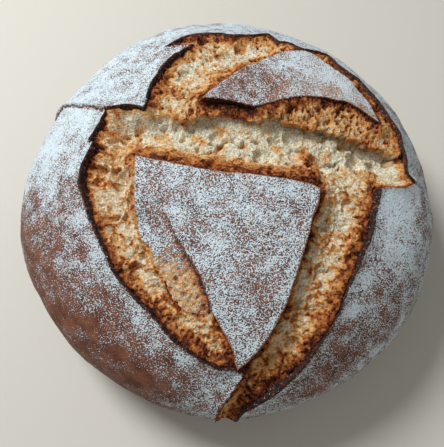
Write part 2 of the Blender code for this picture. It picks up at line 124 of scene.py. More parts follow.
FLAP_BACK = (
    (-44.4, -4.7), (-36.6, -7.1), (-26.8, -9.9), (-15.1, -13.5), (-0.8, -15.7), (10.0, -16.6),
    (28.2, -19.1), (39.8, -21.6),
)
FLAP_CORNER = ((39.8, -21.6), (42.6, -22.9))
FLAP_RIGHT = (
    (42.6, -22.9), (40.8, -31.4), (38.1, -37.3), (34.1, -50.2), (26.9, -70.5), (22.1, -80.8),
    (16.6, -89.5), (10.4, -97.0), (4.1, -102.4),
)
FLAP_INNER = ((4.1, -102.4), (2.6, -98.8), (2.3, -94.7), (-2.7, -85.5), (-6.6, -78.6))
FLAP_SEAM = ((-6.6, -78.6), (-12.4, -80.2), (-19.0, -78.6), (-23.8, -75.1))
FLAP_LEFT = (
    (-23.8, -75.1), (-30.0, -62.8), (-33.9, -57.6), (-36.0, -50.9), (-40.6, -46.4), (-42.6, -37.2),
    (-43.4, -26.3), (-44.0, -16.0), (-44.4, -4.7),
)
# The fold in the flap where its left strip drops below the rest, from its start to the strip's end
FLAP_FOLD = (
    (-30.1, -31.3), (-26.5, -39.7), (-24.0, -44.8), (-19.6, -51.7), (-14.7, -58.5), (-9.7, -69.8),
    (-7.2, -78.0), (-6.0, -88.0),
)

LEAF_BACK = (
    (-12.0, 24.8), (-6.3, 32.8), (6.8, 47.4), (17.3, 55.4), (32.8, 67.9), (40.4, 71.6),
    (46.3, 73.4), (52.2, 70.6), (60.0, 61.7), (69.8, 54.3), (73.9, 46.0), (80.0, 35.9),
    (81.6, 21.1),
)
LEAF_FRONT_RIGHT = ((81.6, 21.1), (76.0, 24.4), (64.9, 30.6), (57.9, 30.5), (50.5, 30.8))
LEAF_FRONT_MIDDLE = ((50.5, 30.8), (38.4, 29.2), (28.8, 26.4), (19.0, 22.3), (12.5, 20.2))
LEAF_FRONT_LEFT = ((12.5, 20.2), (7.0, 21.6), (-2.1, 23.4), (-12.0, 24.8))
LEAF_FRONT = LEAF_FRONT_RIGHT + LEAF_FRONT_MIDDLE[1:] + LEAF_FRONT_LEFT[1:]

TERRACE_FRONT = (
    (-46.0, 27.0), (-26.1, 18.0), (-8.0, 19.4), (7.6, 18.0), (15.2, 16.0), (21.5, 18.8),
    (30.8, 17.4), (40.1, 15.6), (51.0, 15.8), (58.0, 14.0), (66.0, 12.4), (77.9, 9.6), (104.0, 3.0),
)
TERRACE_BEHIND = ((104.0, 3.0), (112.0, 60.0), (40.0, 108.0), (-50.0, 96.0), (-46.0, 27.0))
VALLEY = ((-48.0, 15.0), (-10.0, 7.0), (40.0, 1.0), (88.0, -3.0))
LEAF_HOLLOW = ((-13.0, 23.8), (0.0, 21.2), (12.0, 18.6))
LEDGE_PEAK = ((40.4, -2.4), (42.4, -7.8), (42.7, -14.2))

LEFT_CRACK = (
    (-122.0, 54.0), (-104.0, 48.5), (-87.1, 39.5), (-77.7, 33.6), (-71.0, 29.6), (-63.7, 25.1),
)
RIGHT_CRACK = ((99.8, -10.3), (105.5, -12.0), (112.2, -17.0), (126.0, -26.0), (138.0, -31.0))

# Each edge of a flap, with how far below it the crumb lies and how far the browning reaches at even
# steps along it, in millimetres, and how scorched it is, from 0 to 1. The dark crumb beside the centre
# flap's right edge and under the leaf's front edge is partly painted shade beneath the overhang
FLAP_EDGES = (
    (FLAP_BACK, (0.3, 0.5), (9.0, 12.0, 11.0, 10.0, 13.0), 0.56),
    (FLAP_CORNER, (0.8, 2.5), (9.0, 6.0), 0.80),
    (FLAP_RIGHT, (5.0, 5.0, 4.0), (4.0, 4.0), 0.86),
    (FLAP_INNER, (1.8, 1.6, 1.0), (3.5, 3.5), 0.72),
    (FLAP_SEAM, (0.2, 0.1), (0.3, 0.3), 0.30),
    (FLAP_LEFT, (0.5, 0.8, 0.6, 0.8), (1.0, 1.4, 2.5, 3.0), 0.36),
)
LEAF_EDGES = (
    (LEAF_BACK, (0.6, 0.5, 0.8), (2.4, 2.4), 0.48),
    (LEAF_FRONT_RIGHT, (1.0, 1.8, 1.6), (3.6, 3.6), 0.92),
    (LEAF_FRONT_MIDDLE, (1.0, 0.7, 0.7), (3.0, 3.0), 0.90),
    (LEAF_FRONT_LEFT, (1.2, 2.2), (5.0, 5.5), 0.96),
)

# The rows of points down a flap's torn wall: how far each is moved in from the one above and by how
# much more where the wall is hollow, in millimetres, its depth as a share of the flap's thickness, and
# how much less it is browned
WALL_ROWS = (
    (0.07, 0.4, 0.16, 0.0),
    (0.32, 0.4, 0.41, 0.02),
    (0.50, -0.4, 0.69, 0.04),
    (0.54, -0.4, 1.0, 0.06),
)

# Sizes of the meshes, in millimetres: how far inside the opening the crust's wall ends and the crumb
# starts
WALL_FOOT = 4.3
CRUMB_HEM = 0.6
# Rows of points that follow the opening, the cracks and a flap's edge, by their distance from them
OPENING_ROWS = (-3.4, -2.6, -1.9, -1.3, -0.8, -0.4, 0.4, 0.9, 1.5)
CRACK_ROWS = (-1.6, -0.8, 0.8, 1.6)
PLATE_ROWS = (-0.35, -0.9)
# How far from the top the crust's mesh turns coarse, and how many corners its base has
SIDE_START = 150.0
BASE_CORNERS = 400
# The spacing of the crumb's mesh where a flap covers it
COVERED_STEP = 3.0
# How far from the top the points of the crumb and of the flaps are laid
CRUMB_REACH = 165.0
PLATE_REACH = 130.0
# Heights of the lower end of the hidden skirt and of the hidden floor, and the floors' spacing
CRUST_CAVITY = (-22.0, -24.0)
CRUMB_CAVITY = (-16.0, -20.0)
FLOOR_STEP = 9.0
PLATE_FLOOR_STEP = 6.0
FLAP_THICKNESS = 6.0
LEAF_THICKNESS = 5.0
# Over how many millimetres the values of one edge pass into those of the next, to either side
EDGE_EASING = 1.5

# Swells of the crumb along lines, in millimetres: (line, height, reach)
CRUMB_SWELLS = (
    (VALLEY, -4.0, 13.0),
    (TERRACE_FRONT, -1.6, 5.0),
    (FLAP_BACK, 3.0, 9.0),
    (RIGHT_PLATE_INNER, 3.6, 12.0),
    (LEFT_PLATE_INNER, 1.2, 9.0),
    (((-54.0, -8.0), (-53.0, -36.0)), -3.2, 7.0),
    (LEDGE_PEAK, 3.0, 4.0),
    (((-32.0, -76.0), (-12.0, -88.0), (0.0, -98.0)), 3.0, 8.0),
)
TERRACE_SWELLS = (
    (RIGHT_RIM, 2.0, 9.0),
    (BACK_LEFT_INNER, 1.8, 8.0),
    (LEAF_BACK, 3.2, 7.0),
)
# Where the crumb is browned most, beside its edges: (line, browning, reach)
BROWNED = (
    (LEDGE_PEAK, 0.34, 4.5),
    (FLAP_BACK, 0.24, 10.0),
    (RIGHT_PLATE_INNER, 0.15, 16.0),
    (LEAF_FRONT, 0.16, 9.0),
    (LEFT_PLATE_INNER, 0.17, 16.0),
    (FRONT_END, 0.18, 38.0),
    (((40.0, -84.0), (24.0, -104.0), (8.0, -118.0)), 0.10, 12.0),
    (VALLEY, -0.07, 10.0),
    (((-24.0, 50.0), (0.0, 58.0), (16.0, 66.0)), -0.16, 10.0),
)
# Large bubbles torn open in the crumb, in millimetres: (u, v, radius, depth)
BUBBLES = (
    (-50.0, 25.0, 5.0, 3.5),
    (-52.0, -15.5, 6.5, 5.0),
    (50.0, -7.0, 4.6, 3.5),
    (69.0, 0.0, 6.0, 4.5),
    (80.0, -1.0, 3.6, 3.0),
    (45.0, -38.0, 4.4, 4.0),
    (58.0, -28.0, 3.2, 2.6),
    (-21.0, 46.0, 4.6, 3.0),
    (-2.0, 60.0, 5.0, 3.0),
    (8.0, 68.0, 4.6, 3.0),
    (-22.0, 32.0, 3.8, 2.6),
    (33.0, 9.0, 5.0, 3.0),
    (24.0, 7.5, 3.0, 3.0),
    (-6.0, 9.0, 3.0, 2.0),
    (18.0, -3.0, 5.5, 2.6),
    (-60.0, 8.0, 2.6, 2.6),
    (-66.0, 16.0, 3.6, 4.0),
    (30.0, -93.0, 4.0, 3.0),
    (21.0, -112.0, 3.6, 2.6),
    (-41.0, -60.0, 3.0, 2.2),
)
# Where the flour lies thinner or thicker than elsewhere: (line, change of cover, reach)
FLOUR_BANDS = (
    (
        ((-113.0, -32.0), (-107.0, -56.0), (-94.0, -84.0), (-70.0, -108.0), (-48.0, -124.0)),
        -0.42, 23.0,
    ),
    (((-82.0, -74.0), (-62.0, -94.0), (-36.0, -108.0)), -0.24, 12.0),
    (((-79.0, -28.0), (-69.0, -46.0), (-62.0, -68.0), (-48.0, -82.0), (-30.0, -90.0)), -0.16, 11.0),
    (((-120.0, -60.0), (-90.0, -112.0), (-30.0, -150.0)), -0.1, 18.0),
    (((-48.0, -104.0), (-20.0, -115.0)), -0.12, 12.0),
    (((-100.0, 30.0), (-92.0, 62.0), (-60.0, 92.0)), 0.22, 40.0),
    (((-104.0, 6.0), (-94.0, -18.0)), 0.12, 14.0),
    (((78.0, -62.0), (66.0, -86.0), (52.0, -104.0), (40.0, -118.0)), -0.22, 13.0),
    (((104.0, -34.0), (96.0, -60.0)), -0.1, 14.0),
    (((84.0, -20.0), (82.0, -54.0)), 0.28, 14.0),
    (((92.0, -30.0), (84.0, -56.0)), 0.06, 26.0),
    (((20.0, 104.0), (70.0, 90.0)), 0.16, 34.0),
    (((-10.0, 25.0), (4.0, 36.0), (22.0, 34.0)), -0.2, 12.0),
    (((40.0, 60.0), (70.0, 50.0)), 0.1, 13.0),
    (((-38.0, -18.0), (-34.0, -46.0)), -0.09, 7.0),
    (((0.0, -50.0), (8.0, -70.0)), -0.05, 14.0),
)


# What every colour property has in common
COLOUR = {"subtype": "COLOR", "size": 3, "min": 0.0, "max": 1.0}

# The stage, in metres
FLOOR_SIZE = 6.0
LIGHTS_AIM = (0.0, 0.0, 0.05)
# Disk lights: (name, place, diameter, power in watts, colour)
LIGHTS = (
    ("window", (-0.55, 0.42, 0.92), 0.45, 13.8, (0.89, 0.95, 1.0)),
    ("fill", (0.5, -0.9, 1.0), 1.2, 1.4, (1.0, 0.96, 0.9)),
)
WORLD_COLOUR = (0.88, 0.94, 0.97)
WORLD_STRENGTH = 0.29
CAMERA_PLACE = (-0.00188, -0.13461, 0.28557)
CAMERA_AIM = (-0.00188, -0.0201, 0.04)
# The picture is this wide, in millimetres on the sensor, and the lens's length is in that measure
SENSOR_WIDTH = 36.0
LENS_LENGTH = SENSOR_WIDTH * 500.0 / 447.0


class LoafShape(bpy.types.PropertyGroup):
    """The sizes of the loaf, its opening and its flaps"""

    radius: bpy.props.FloatProperty(
        name="Radius", description="Widest radius of the dome",
        default=0.115, min=0.03, unit="LENGTH",
    )
    height: bpy.props.FloatProperty(
        name="Height", description="Height of the dome", default=0.088, min=0.02, unit="LENGTH"
    )
    widest_at: bpy.props.FloatProperty(
        name="Widest at", description="Height at which the loaf is widest",
        default=0.030, min=0.005, unit="LENGTH",
    )
    base_radius: bpy.props.FloatProperty(
        name="Base radius", description="Radius of the flat base",
        default=0.086, min=0.02, unit="LENGTH",
    )
    fullness: bpy.props.FloatProperty(
        name="Fullness", description="How square the dome's shoulders are",
        default=2.2, min=1.5, max=4.0,
    )
    lip: bpy.props.FloatProperty(
        name="Lip", description="How far the crust lifts along the tear",
        default=0.0020, min=0.0, unit="LENGTH",
    )
    crumb_level: bpy.props.FloatProperty(
        name="Crumb level", description="Height of the crumb beside the crust",
        default=-0.006, unit="LENGTH",
    )
    terrace_level: bpy.props.FloatProperty(
        name="Terrace level", description="Height of the crumb's terrace at the back",
        default=-0.0040, unit="LENGTH",
    )
    flap_level: bpy.props.FloatProperty(
        name="Flap level", description="Height of the centre flap over the dome",
        default=0.0010, unit="LENGTH",
    )
    leaf_level: bpy.props.FloatProperty(
        name="Leaf level", description="Height of the leaf over the dome",
        default=0.0006, unit="LENGTH",
    )
    strip_drop: bpy.props.FloatProperty(
        name="Strip drop", description="How far the flap's left strip lies below it",
        default=0.0036, unit="LENGTH",
    )


class LoafColours(bpy.types.PropertyGroup):
    """The colours of the crust, the flour and the crumb from pale to burnt"""

    crust: bpy.props.FloatVectorProperty(
        name="Crust", description="Bare crust", default=(0.115, 0.036, 0.018), **COLOUR
    )
    crust_light: bpy.props.FloatVectorProperty(
        name="Crust, light", description="Lighter crust", default=(0.240, 0.088, 0.047), **COLOUR
    )
    flour: bpy.props.FloatVectorProperty(
        name="Flour", description="Baked-on flour", default=(0.68, 0.755, 0.78), **COLOUR
    )
    pale_crumb: bpy.props.FloatVectorProperty(
        name="Pale crumb", description="Unbrowned crumb", default=(0.72, 0.64, 0.47), **COLOUR
    )
    golden_crumb: bpy.props.FloatVectorProperty(
        name="Golden crumb", description="Lightly browned crumb",
        default=(0.70, 0.375, 0.135), **COLOUR,
    )
    toasted_crumb: bpy.props.FloatVectorProperty(
        name="Toasted crumb", description="Well browned crumb",
        default=(0.47, 0.138, 0.032), **COLOUR,
    )
    dark_crumb: bpy.props.FloatVectorProperty(
        name="Dark crumb", description="Dark brown crumb", default=(0.135, 0.028, 0.012), **COLOUR
    )
    # The darkest colour: burnt crust walls and charred crumb edges, and the painted shade in the crevices
    # beside them
    burnt_and_shaded_crumb: bpy.props.FloatVectorProperty(
        name="Burnt and shaded crumb", description="Darkest browned edge",
        default=(0.018, 0.009, 0.007), **COLOUR,
    )


class LoafDetail(bpy.types.PropertyGroup):
    """How fine the meshes are"""

    edge_step: bpy.props.FloatProperty(
        name="Edge step", description="Mesh spacing along torn edges",
        default=0.0007, min=0.0003, unit="LENGTH",
    )
    crumb_step: bpy.props.FloatProperty(
        name="Crumb step", description="Mesh spacing over the crumb",
        default=0.00055, min=0.0003, unit="LENGTH",
    )
    crust_step: bpy.props.FloatProperty(
        name="Crust step", description="Mesh spacing over the crust",
        default=0.0013, min=0.0005, unit="LENGTH",
    )
    flap_step: bpy.props.FloatProperty(
        name="Flap step", description="Mesh spacing over the flaps",
        default=0.00065, min=0.0004, unit="LENGTH",
    )
    side_step: bpy.props.FloatProperty(
        name="Side step", description="Mesh spacing low on the sides",
        default=0.0022, min=0.001, unit="LENGTH",
    )


def mm(length):
    """A length in metres, in millimetres."""
    return length / MM


# Flat skin: lines


def from_top(skin):
    """How far each point is from the top of the loaf."""
    return np.hypot(skin[:, 0], skin[:, 1])


def smooth(points, step):
    """A smooth curve through the points, from the first to the last, as points about one step apart."""
    if len(points) == 2:
        start, end = np.array(points, float)
        count = max(1, round(float(np.linalg.norm(end - start)) / step))
        return np.array([start + (end - start) * i / count for i in range(count + 1)])
    points = [Vector(point) for point in points]
    held = [2 * points[0] - points[1], *points, 2 * points[-1] - points[-2]]
    curve = [held[1]]
    for before, start, end, after in zip(held, held[1:], held[2:], held[3:]):
        count = max(1, round((end - start).length / step))
        for i in range(1, count + 1):
            t = i / count
            pull_start = (end - before) * 0.5
            pull_end = (after - start) * 0.5
            curve.append(
                start * (2 * t**3 - 3 * t**2 + 1)
                + pull_start * (t**3 - 2 * t**2 + t)
                + end * (3 * t**2 - 2 * t**3)
                + pull_end * (t**3 - t**2)
            )
    return np.array([list(p) for p in curve])


def side_normals(points, ring):
    """At each point, the unit vector to the line's right, or out of a ring that runs anticlockwise."""
    if ring:
        along = np.roll(points, -1, axis=0) - np.roll(points, 1, axis=0)
    else:
        along = np.gradient(points, axis=0)
    across = np.column_stack([along[:, 1], -along[:, 0]])
    return across / np.maximum(np.linalg.norm(across, axis=1), 1e-9)[:, None]


def in_pattern(skin, size, place):
    """The skin's points as they lie in a pattern of a size, at a place of their own in it."""
    place = Vector(place)
    return [Vector((u, v, 0.0)) / size + place for u, v in skin]


def field(skin, size, seed, layers=1):
    """Smooth noise over the skin, from about -1 to 1, with finer layers on it. Each seed gives another."""
    points = in_pattern(skin, size, (seed, 2.3 * seed, 0.0))
    return np.array([noise.fractal(point, 1.0, 2.0, layers) for point in points])


def wander(skin, size, first_seed, second_seed):
    """Smooth noise both ways over the skin, to move points by."""
    return np.column_stack([field(skin, size, first_seed, 2), field(skin, size, second_seed, 2)])


def even_odd(skin, ring):
    """Which points lie inside a ring, by how often a line from each point crosses it."""
    odd = np.zeros(len(skin), bool)
    for start, end in zip(ring, np.roll(ring, -1, axis=0)):
        if start[1] != end[1]:
            spans = (start[1] > skin[:, 1]) != (end[1] > skin[:, 1])
            crossing = start[0] + (skin[:, 1] - start[1]) * (end[0] - start[0]) / (end[1] - start[1])
            odd ^= spans & (skin[:, 0] < crossing)
    return odd


class Seam:
    """A line on the skin, or a ring that runs anticlockwise, that knows how far points are from it."""

    def __init__(self, points, ring=False):
        self.points = np.asarray(points)
        self.ring = ring
        self.normals = side_normals(self.points, ring)
        self.tree = kdtree.KDTree(len(self.points))
        for index, (u, v) in enumerate(self.points):
            self.tree.insert((u, v, 0.0), index)
        self.tree.balance()

    def nearest(self, skin):
        """For each point, the index of the line's nearest point."""
        return np.array([self.tree.find((u, v, 0.0))[1] for u, v in skin])

    def across(self, skin, index=None):
        """Distance to the line: positive to its right, or outside a ring."""
        index = self.nearest(skin) if index is None else index
        offset = skin - self.points[index]
        sideways = (offset * self.normals[index]).sum(axis=1)
        away = np.hypot(offset[:, 0], offset[:, 1])
        signed = np.where(away < 1.5, sideways, np.copysign(away, sideways))
        if self.ring:
            doubtful = (away > 1.5) & (np.abs(sideways) < 0.7 * away)
            within = even_odd(skin[doubtful], self.points)
            signed[doubtful] = np.where(within, -away[doubtful], away[doubtful])
        return signed

    def distance(self, skin):
        """Distance to the line, to either side."""
        return np.abs(self.across(skin))

    def beside(self, offset):
        """The line moved to its right, without the points that a bend would bring too near to it."""
        moved = self.points + self.normals * offset
        away = np.array([self.tree.find((u, v, 0.0))[2] for u, v in moved])
        return moved[away > 0.999 * abs(offset)]

    def contains(self, skin):
        """Which points lie inside the ring."""
        return even_odd(skin, self.points)


def ragged(points, ring, roughness, seed):
    """A line torn unevenly: long and short noise move its points sideways."""
    sway = 1.0 * field(points, 7.0, seed, 2) + 0.55 * field(points, 1.7, seed + 4.0, 2)
    return points + side_normals(points, ring) * (roughness * sway)[:, None]


def anticlockwise(points):
    """Whether a ring of points runs anticlockwise, seen from above."""
    after = np.roll(points, -1, axis=0)
    return float((points[:, 0] * after[:, 1] - after[:, 0] * points[:, 1]).sum()) > 0


def lines_of(edges):
    """The lines of edges that are given with their values."""
    return [line for line, *_ in edges]


def ring_of(lines, step, roughness, seed):
    """The closed ring that runs along the lines in turn, torn unevenly."""
    points = np.concatenate([smooth(line, step)[:-1] for line in lines])
    if not anticlockwise(points):
        points = points[::-1]
    return Seam(ragged(points, True, roughness, seed), ring=True)


def along_edges(edges, step):
    """The wall, the browning's reach and the scorching at each point of a ring of edges."""
    lines = [smooth(line, step)[:-1] for line in lines_of(edges)]
    rows = []
    for line, (_, walls, reaches, scorch) in zip(lines, edges):
        way = np.linspace(0.0, 1.0, len(line))
        wall = np.interp(way, np.linspace(0.0, 1.0, len(walls)), walls)
        reach = np.interp(way, np.linspace(0.0, 1.0, len(reaches)), reaches)
        rows.append(np.column_stack([wall, reach, np.full(len(line), scorch)]))
    values = np.concatenate(rows)
    if not anticlockwise(np.concatenate(lines)):
        values = values[::-1]
    span = max(1, round(EDGE_EASING / step))
    padded = np.concatenate([values[-span:], values, values[:span]])
    window = np.ones(2 * span + 1) / (2 * span + 1)
    return np.array([np.convolve(column, window, mode="valid") for column in padded.T])


def scorch_beside(ring, edges, step, skin):
    """How scorched the ring is where it is nearest to each point."""
    return along_edges(edges, step)[2][ring.nearest(skin)]


def ease(value):
    """A smooth step from 0 to 1 as the value goes from 0 to 1."""
    t = np.clip(value, 0.0, 1.0)
    return t * t * (3.0 - 2.0 * t)


def between(first, second, share):
    """From the first value to the second, as the share goes from 0 to 1."""
    return first + (second - first) * share


def mostly(value, low, high):
    """0 up to the low value, then straight up to 1 at the high one."""
    return np.clip((value - low) / (high - low), 0.0, 1.0)


def swell(distance, reach):
    """1 at no distance, fading to 0 on both sides."""
    return np.exp(-((distance / reach) ** 2))


def near_line(line, skin, reach, step=1.0):
    """1 on a line of the skin, fading to 0 beside it."""
    return swell(Seam(smooth(line, step)).distance(skin), reach)


def changes_along(lines, skin, step=1.0):
    """The sum of the changes that lines make beside them, each given as (line, change, reach)."""
    total = np.zeros(len(skin))
    for line, change, reach in lines:
        total += change * near_line(line, skin, reach, step)
    return total


class Skin:
    """The loaf's dome and the seams on its flat skin, in millimetres."""

    def __init__(self, shape, detail):
        self.shape = shape
        step = mm(detail.edge_step)
        self.way, self.radius, self.height = self.profile()
        self.edge = self.way[-1]
        self.opening = ring_of(lines_of(OPENING_EDGES), step, 0.42, 1.7)
        self.flap = ring_of(lines_of(FLAP_EDGES), step, 0.22, 6.1)
        self.leaf = ring_of(lines_of(LEAF_EDGES), step, 0.5, 9.4)
        front = ring_of([TERRACE_FRONT, TERRACE_BEHIND], step, 0.5, 3.3)
        cusps = 1.6 * (0.5 - 2.0 * np.abs(field(front.points, 6.0, 3.9, 2)))
        self.terrace = Seam(front.points + front.normals * cusps[:, None], ring=True)
        self.cracks = [
            Seam(ragged(smooth(crack, step), False, 0.6, seed))
            for crack, seed in ((LEFT_CRACK, 30.0), (RIGHT_CRACK, 31.0))
        ]

    def hidden_ring(self, inset):
        """A smooth ring inside the opening, where one hidden surface ends."""
        even = ring_of(lines_of(OPENING_EDGES), 1.2, 0.0, 0.0)
        return Seam(even.beside(-inset), ring=True)

    def lowness(self, flat):
        """1 over most of the dome, fading to 0 at the edge of the base."""
        return ease((self.edge - from_top(flat)) / 26.0)

    def profile(self, steps=400):
        """The half outline of the dome from its top to the edge of its base."""
        shape = self.shape
        rise = np.linspace(0.0, math.pi / 2, steps)
        tuck = np.linspace(0.0, math.pi / 2, steps)[1:]
        widest = mm(shape.widest_at)
        over_radius = mm(shape.radius) * np.sin(rise) ** (2 / shape.fullness)
        over_height = widest + (mm(shape.height) - widest) * np.cos(rise) ** (2 / shape.fullness)
        under_radius = mm(shape.base_radius) + (mm(shape.radius) - mm(shape.base_radius)) * np.cos(tuck)
        under_height = widest * (1.0 - np.sin(tuck))
        radius = np.concatenate([over_radius, under_radius])
        height = np.concatenate([over_height, under_height])
        way = np.concatenate([[0.0], np.cumsum(np.hypot(np.diff(radius), np.diff(height)))])
        return way, radius, height

    def wrap(self, flat, height):
        """Points of the flat skin, at their heights along the dome's normal, in metres."""
        way = from_top(flat)
        bearing = np.arctan2(flat[:, 1], flat[:, 0])
        above, below = way - 0.5, way + 0.5
        slope_radius = np.interp(below, self.way, self.radius) - np.interp(above, self.way, self.radius)
        slope_height = np.interp(below, self.way, self.height) - np.interp(above, self.way, self.height)
        length = np.hypot(slope_radius, slope_height)
        factor = np.ones_like(bearing)
        for lobes, (cosine, sine) in LOBES.items():
            factor = factor + cosine * np.cos(lobes * bearing) + sine * np.sin(lobes * bearing)
        radius = np.interp(way, self.way, self.radius) * factor - height * slope_height / length
        z = np.interp(way, self.way, self.height) + height * slope_radius / length
        x = radius * np.cos(bearing) + APEX[0]
        y = radius * np.sin(bearing) + APEX[1]
        return np.column_stack([x, y, z]) * MM


# Flat skin: surfaces


def grid(step, reach):
    """Points over the skin out to a reach, in rows staggered like bricks and then shaken a little."""
    row_step = step * math.sqrt(0.75)
    rows = int(reach / row_step) + 1
    columns = int(reach / step) + 1
    row = np.repeat(np.arange(-rows, rows + 1), 2 * columns + 1)
    column = np.tile(np.arange(-columns, columns + 1), 2 * rows + 1)
    points = np.column_stack([(column + 0.5 * (row % 2)) * step, row * row_step])
    shake = np.random.default_rng(5).uniform(-0.18, 0.18, points.shape) * step
    return (points + shake)[from_top(points) < reach]


def closed(points):
    """A ring's points with the first one again at the end."""
    return np.concatenate([points, points[:1]])


def clear_of(points, lines, gap):
    """The points that are further than the gap from every line's points."""
    tree = kdtree.KDTree(sum(len(line) for line in lines))
    for line in lines:
        for u, v in line:
            tree.insert((u, v, 0.0), 0)
    tree.balance()
    away = np.array([tree.find((u, v, 0.0))[2] for u, v in points])
    return points[away > gap]


def triangulate(lines, groups):
    """The flat points and triangles, with every line along the edges of triangles."""
    points = []
    edges = []
    for line in lines:
        edges += [(len(points) + i, len(points) + i + 1) for i in range(len(line) - 1)]
        points += [Vector(p) for p in line]
    for group in groups:
        points += [Vector(p) for p in group]
    found, _, faces, *_ = geometry.delaunay_2d_cdt(points, edges, [], 0, 1e-3, False)
    return np.array([list(p) for p in found]), np.array(faces)


def directed_loops(faces):
    """The loops of edges that only one triangle uses, each in that triangle's direction."""
    used = set()
    for a, b, c in faces:
        used.update(((a, b), (b, c), (c, a)))
    after = {a: b for a, b in used if (b, a) not in used}
    loops = []
    while after:
        start = next(iter(after))
        loop = [start]
        while after[loop[-1]] != start:
            loop.append(after.pop(loop[-1]))
        after.pop(loop[-1])
        loops.append(loop)
    return loops


class Surface:
    """A closed surface in the making: flat points with heights and named values, and their faces."""

    def __init__(self, flat, height, faces, **values):
        self.flat = flat
        self.height = height
        self.faces = [tuple(face) for face in faces.tolist()]
        self.values = values

    def extend(self, flat, height, **values):
        """Adds points, and gives the index of the first."""
        first = len(self.flat)
        self.flat = np.concatenate([self.flat, flat])
        self.height = np.concatenate([self.height, np.broadcast_to(height, len(flat))])
        for name, value in self.values.items():
            self.values[name] = np.concatenate([value, np.broadcast_to(values[name], len(flat))])
        return first

    def skirt(self, loop, inset, height, inward=None, **values):
        """A wall from a loop down to a new row of points moved in from it; gives the new loop."""
        if inward is None:
            inward = -side_normals(self.flat[loop], True)
        moved = self.flat[loop] + inward * np.broadcast_to(inset, len(loop))[:, None]
        first = self.extend(moved, height, **values)
        below = list(range(first, first + len(loop)))
        for i, start in enumerate(loop):
            after = (i + 1) % len(loop)
            self.faces.append((loop[after], start, below[i]))
            self.faces.append((loop[after], below[i], below[after]))
        return below

    def floor(self, loop, height, step, **values):
        """Closes a loop with a coarse floor."""
        ring = self.flat[loop]
        upward = anticlockwise(ring)
        outline = Seam(ring if upward else ring[::-1], ring=True)
        inner = grid(step, float(from_top(ring).max()))
        inner = inner[outline.across(inner) < -0.6 * step]
        flat, faces = triangulate([closed(ring)], [inner])
        faces = faces[outline.contains(flat[faces].mean(axis=1))]
        first = self.extend(flat[len(ring):], height, **values)
        place = loop + list(range(first, first + len(flat) - len(ring)))
        for a, b, c in faces.tolist():
            face = (place[a], place[b], place[c])
            self.faces.append(face[::-1] if upward else face)

    def make(self, name, skin, slide=None):
        """The surface wrapped over the dome, as a mesh object."""
        flat = self.flat if slide is None else self.flat + slide
        mesh = bpy.data.meshes.new(name)
        mesh.from_pydata(skin.wrap(flat, self.height).tolist(), [], self.faces)
        for value_name, value in self.values.items():
            layer = mesh.attributes.new(value_name, "FLOAT", "POINT")
            layer.data.foreach_set("value", np.asarray(value, dtype=np.float32))
        piece = bpy.data.objects.new(name, mesh)
        bpy.context.scene.collection.objects.link(piece)
        bpy.ops.object.select_all(action="DESELECT")
        bpy.context.view_layer.objects.active = piece
        piece.select_set(True)
        bpy.ops.object.shade_smooth()
        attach(piece, "root")
        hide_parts("loaf")
        return piece


def cells(skin, size, seed):
    """Bubbles packed side by side: 0 on the walls between them and 1 in their middles."""
    from_wall = []
    for point in in_pattern(skin, size, (seed, 1.7 * seed, 0.5)):
        first, second, *_ = noise.voronoi(point)[0]
        from_wall.append(second - first)
    return 1.0 - swell(np.array(from_wall), 0.28)


def ridges(skin, size, seed):
    """Sharp torn ridges with finer ones on them, from about -1 in the hollows to 1 on the crests."""
    points = in_pattern(skin, size, (seed, 1.9 * seed, 0.0))
    crests = np.array([noise.ridged_multi_fractal(point, 1.0, 2.1, 4, 1.0, 2.0) for point in points])
    return np.clip((crests - crests.mean()) / (2.0 * crests.std()), -1.0, 1.4)


def pits(skin, size, share, seed):
    """Round holes at a share of the scattered places: 0 outside them and 1 in their middles."""
    depth = []
    for point in in_pattern(skin, size, (seed, 2.1 * seed, 0.5)):
        distances, centres = noise.voronoi(point)
        draw = noise.cell(centres[0] * 7.3)
        radius = 0.30 + 0.35 * noise.cell(centres[0] * 3.1 + Vector((9.0, 4.0, 1.0)))
        depth.append(max(0.0, 1.0 - (distances[0] / radius) ** 2) if draw < share else 0.0)
    return np.array(depth)


def pockets(skin, size, seed):
    """Torn pockets: 0 outside them, deepening towards the back and ending there below a sharp lip."""
    way = skin[:, 1] / size + 0.9 * field(skin, 1.3 * size, seed, 3)
    return (way - np.floor(way)) ** 2 * mostly(field(skin, 1.2 * size, seed + 2.0, 2), 0.0, 0.45)


def flour_cover(skin, base, patchy):
    """How much of the crust the flour covers, with rings of it as from a proving basket."""
    bearing = np.arctan2(skin[:, 1], skin[:, 0])
    round_top = np.column_stack([2.6 * from_top(skin), 100.0 * bearing])
    cover = base + 0.10 * field(skin, 34.0, 12.1, 2) + 0.20 * field(round_top, 26.0, 14.7, 4)
    return cover + patchy * field(skin, 7.0, 16.3, 3) + changes_along(FLOUR_BANDS, skin, 2.0)


def crust_waves(skin):
    """The crust's uneven rise and its rough skin."""
    low = ease((from_top(skin) - 80.0) / 50.0)
    waves = (1.5 - 0.8 * low) * field(skin, 42.0, 0.0, 2)
    return waves + 0.35 * field(skin, 12.0, 21.0, 2) + 0.16 * field(skin, 2.6, 23.0, 2)


def crack_groove(skin, flat):
    """Depth and nearness of the cracks that run on down the sides."""
    groove = np.zeros(len(flat))
    dark = np.zeros(len(flat))
    for crack in skin.cracks:
        distance = crack.distance(flat)
        groove += 1.3 * swell(distance, 0.7) - 0.6 * swell(distance, 4.0)
        dark = np.maximum(dark, swell(distance, 0.45))
    return groove, dark


def lifted_plate(skin, step):
    """How far the back left plate stands over its neighbour, along their crack."""
    seam = np.concatenate([smooth(LEFT_CRACK, step), smooth(BACK_LEFT_FRONT, step)[1:]])
    past_seam = skin[:, 1] - np.interp(skin[:, 0], seam[:, 0], seam[:, 1])
    behind = ease((past_seam + 0.8) / 1.2) * ease((-38.0 - skin[:, 0]) / 8.0)
    return 2.6 * np.exp(-Seam(seam).distance(skin) / 16.0) * behind


